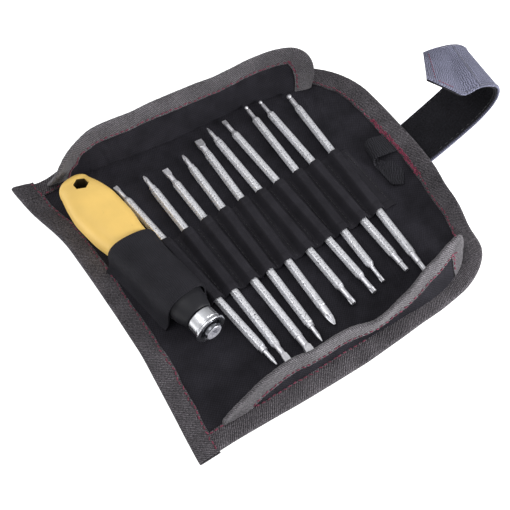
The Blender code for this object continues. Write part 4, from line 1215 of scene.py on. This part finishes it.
# ------------------------------------------------------------------ floor, light, camera
bm = bmesh.new()
bmesh.ops.create_grid(bm, x_segments=8, y_segments=8, size=4.0)
me = bpy.data.meshes.new("floor")
bm.to_mesh(me)
bm.free()
floor = bpy.data.objects.new("floor", me)
floor.location = (0, 0, -0.0002)
bpy.context.scene.collection.objects.link(floor)
g = Nodes("floor_white")
b = g.bsdf.inputs
b["Base Color"].default_value = (0.93, 0.93, 0.93, 1)
b["Roughness"].default_value = 0.9
b["Specular IOR Level"].default_value = 0.1
b["Emission Color"].default_value = (1, 1, 1, 1)
b["Emission Strength"].default_value = 0.62
me.materials.append(g.mat)

sc = bpy.context.scene
world = bpy.data.worlds.new("studio")
sc.world = world
world.use_nodes = True
wt = world.node_tree
bg = wt.nodes["Background"]
tc = wt.nodes.new("ShaderNodeTexCoord")
sep = wt.nodes.new("ShaderNodeSeparateXYZ")
wt.links.new(tc.outputs["Generated"], sep.inputs[0])


def wm(op, a, b_):
    n = wt.nodes.new("ShaderNodeMath")
    n.operation = op
    for s_, v_ in zip(n.inputs, (a, b_)):
        if isinstance(v_, bpy.types.NodeSocket):
            wt.links.new(v_, s_)
        else:
            s_.default_value = v_
    return n.outputs[0]


# brighter overhead and from the back left, dimmer low down on the camera's side
dirn = wm("ADD", wm("MULTIPLY", sep.outputs[0], -0.28), wm("ADD", wm("MULTIPLY", sep.outputs[1], 0.10), wm("MULTIPLY", sep.outputs[2], 0.72)))
mr = wt.nodes.new("ShaderNodeMapRange")
wt.links.new(dirn, mr.inputs["Value"])
mr.inputs["From Min"].default_value = -0.15
mr.inputs["From Max"].default_value = 0.75
mr.inputs["To Min"].default_value = 0.34
mr.inputs["To Max"].default_value = 0.78
wt.links.new(mr.outputs["Result"], bg.inputs["Strength"])
bg.inputs["Color"].default_value = (1.0, 1.0, 1.0, 1)


def area(name, loc, aim, size, watts, color=(1, 1, 1)):
    li = bpy.data.lights.new(name, "AREA")
    li.shape = "DISK"
    li.size = size
    li.energy = watts
    li.color = color
    ob = bpy.data.objects.new(name, li)
    ob.location = loc
    ob.rotation_mode = "QUATERNION"
    ob.rotation_quaternion = (Vector(aim) - Vector(loc)).to_track_quat("-Z", "Y")
    sc.collection.objects.link(ob)
    return ob


area("key", (-0.42, 0.10, 0.75), (0, 0, 0), 0.55, 1.9)
area("front", (0.42, -0.62, 0.30), (0.02, -0.02, 0.0), 0.38, 4.4)
area("near", (0.23, -0.24, 0.13), (0.07, -0.075, 0.012), 0.10, 0.44)

cam = bpy.data.cameras.new("cam")
cam.sensor_width = 36.0
cam.lens = 70.6
cam.clip_start, cam.clip_end = 0.01, 20.0
co = bpy.data.objects.new("cam", cam)
fwd = Vector((0.3030, 0.4645, -0.8321))
co.location = Vector((-0.015354, -0.010196, 0.0)) - fwd * 0.491995
co.rotation_mode = "QUATERNION"
co.rotation_quaternion = fwd.to_track_quat("-Z", "Y")
sc.collection.objects.link(co)
sc.camera = co
sc.view_settings.view_transform = "Standard"
sc.view_settings.look = "None"
sc.view_settings.exposure = 0.0
sc.view_settings.gamma = 1.0
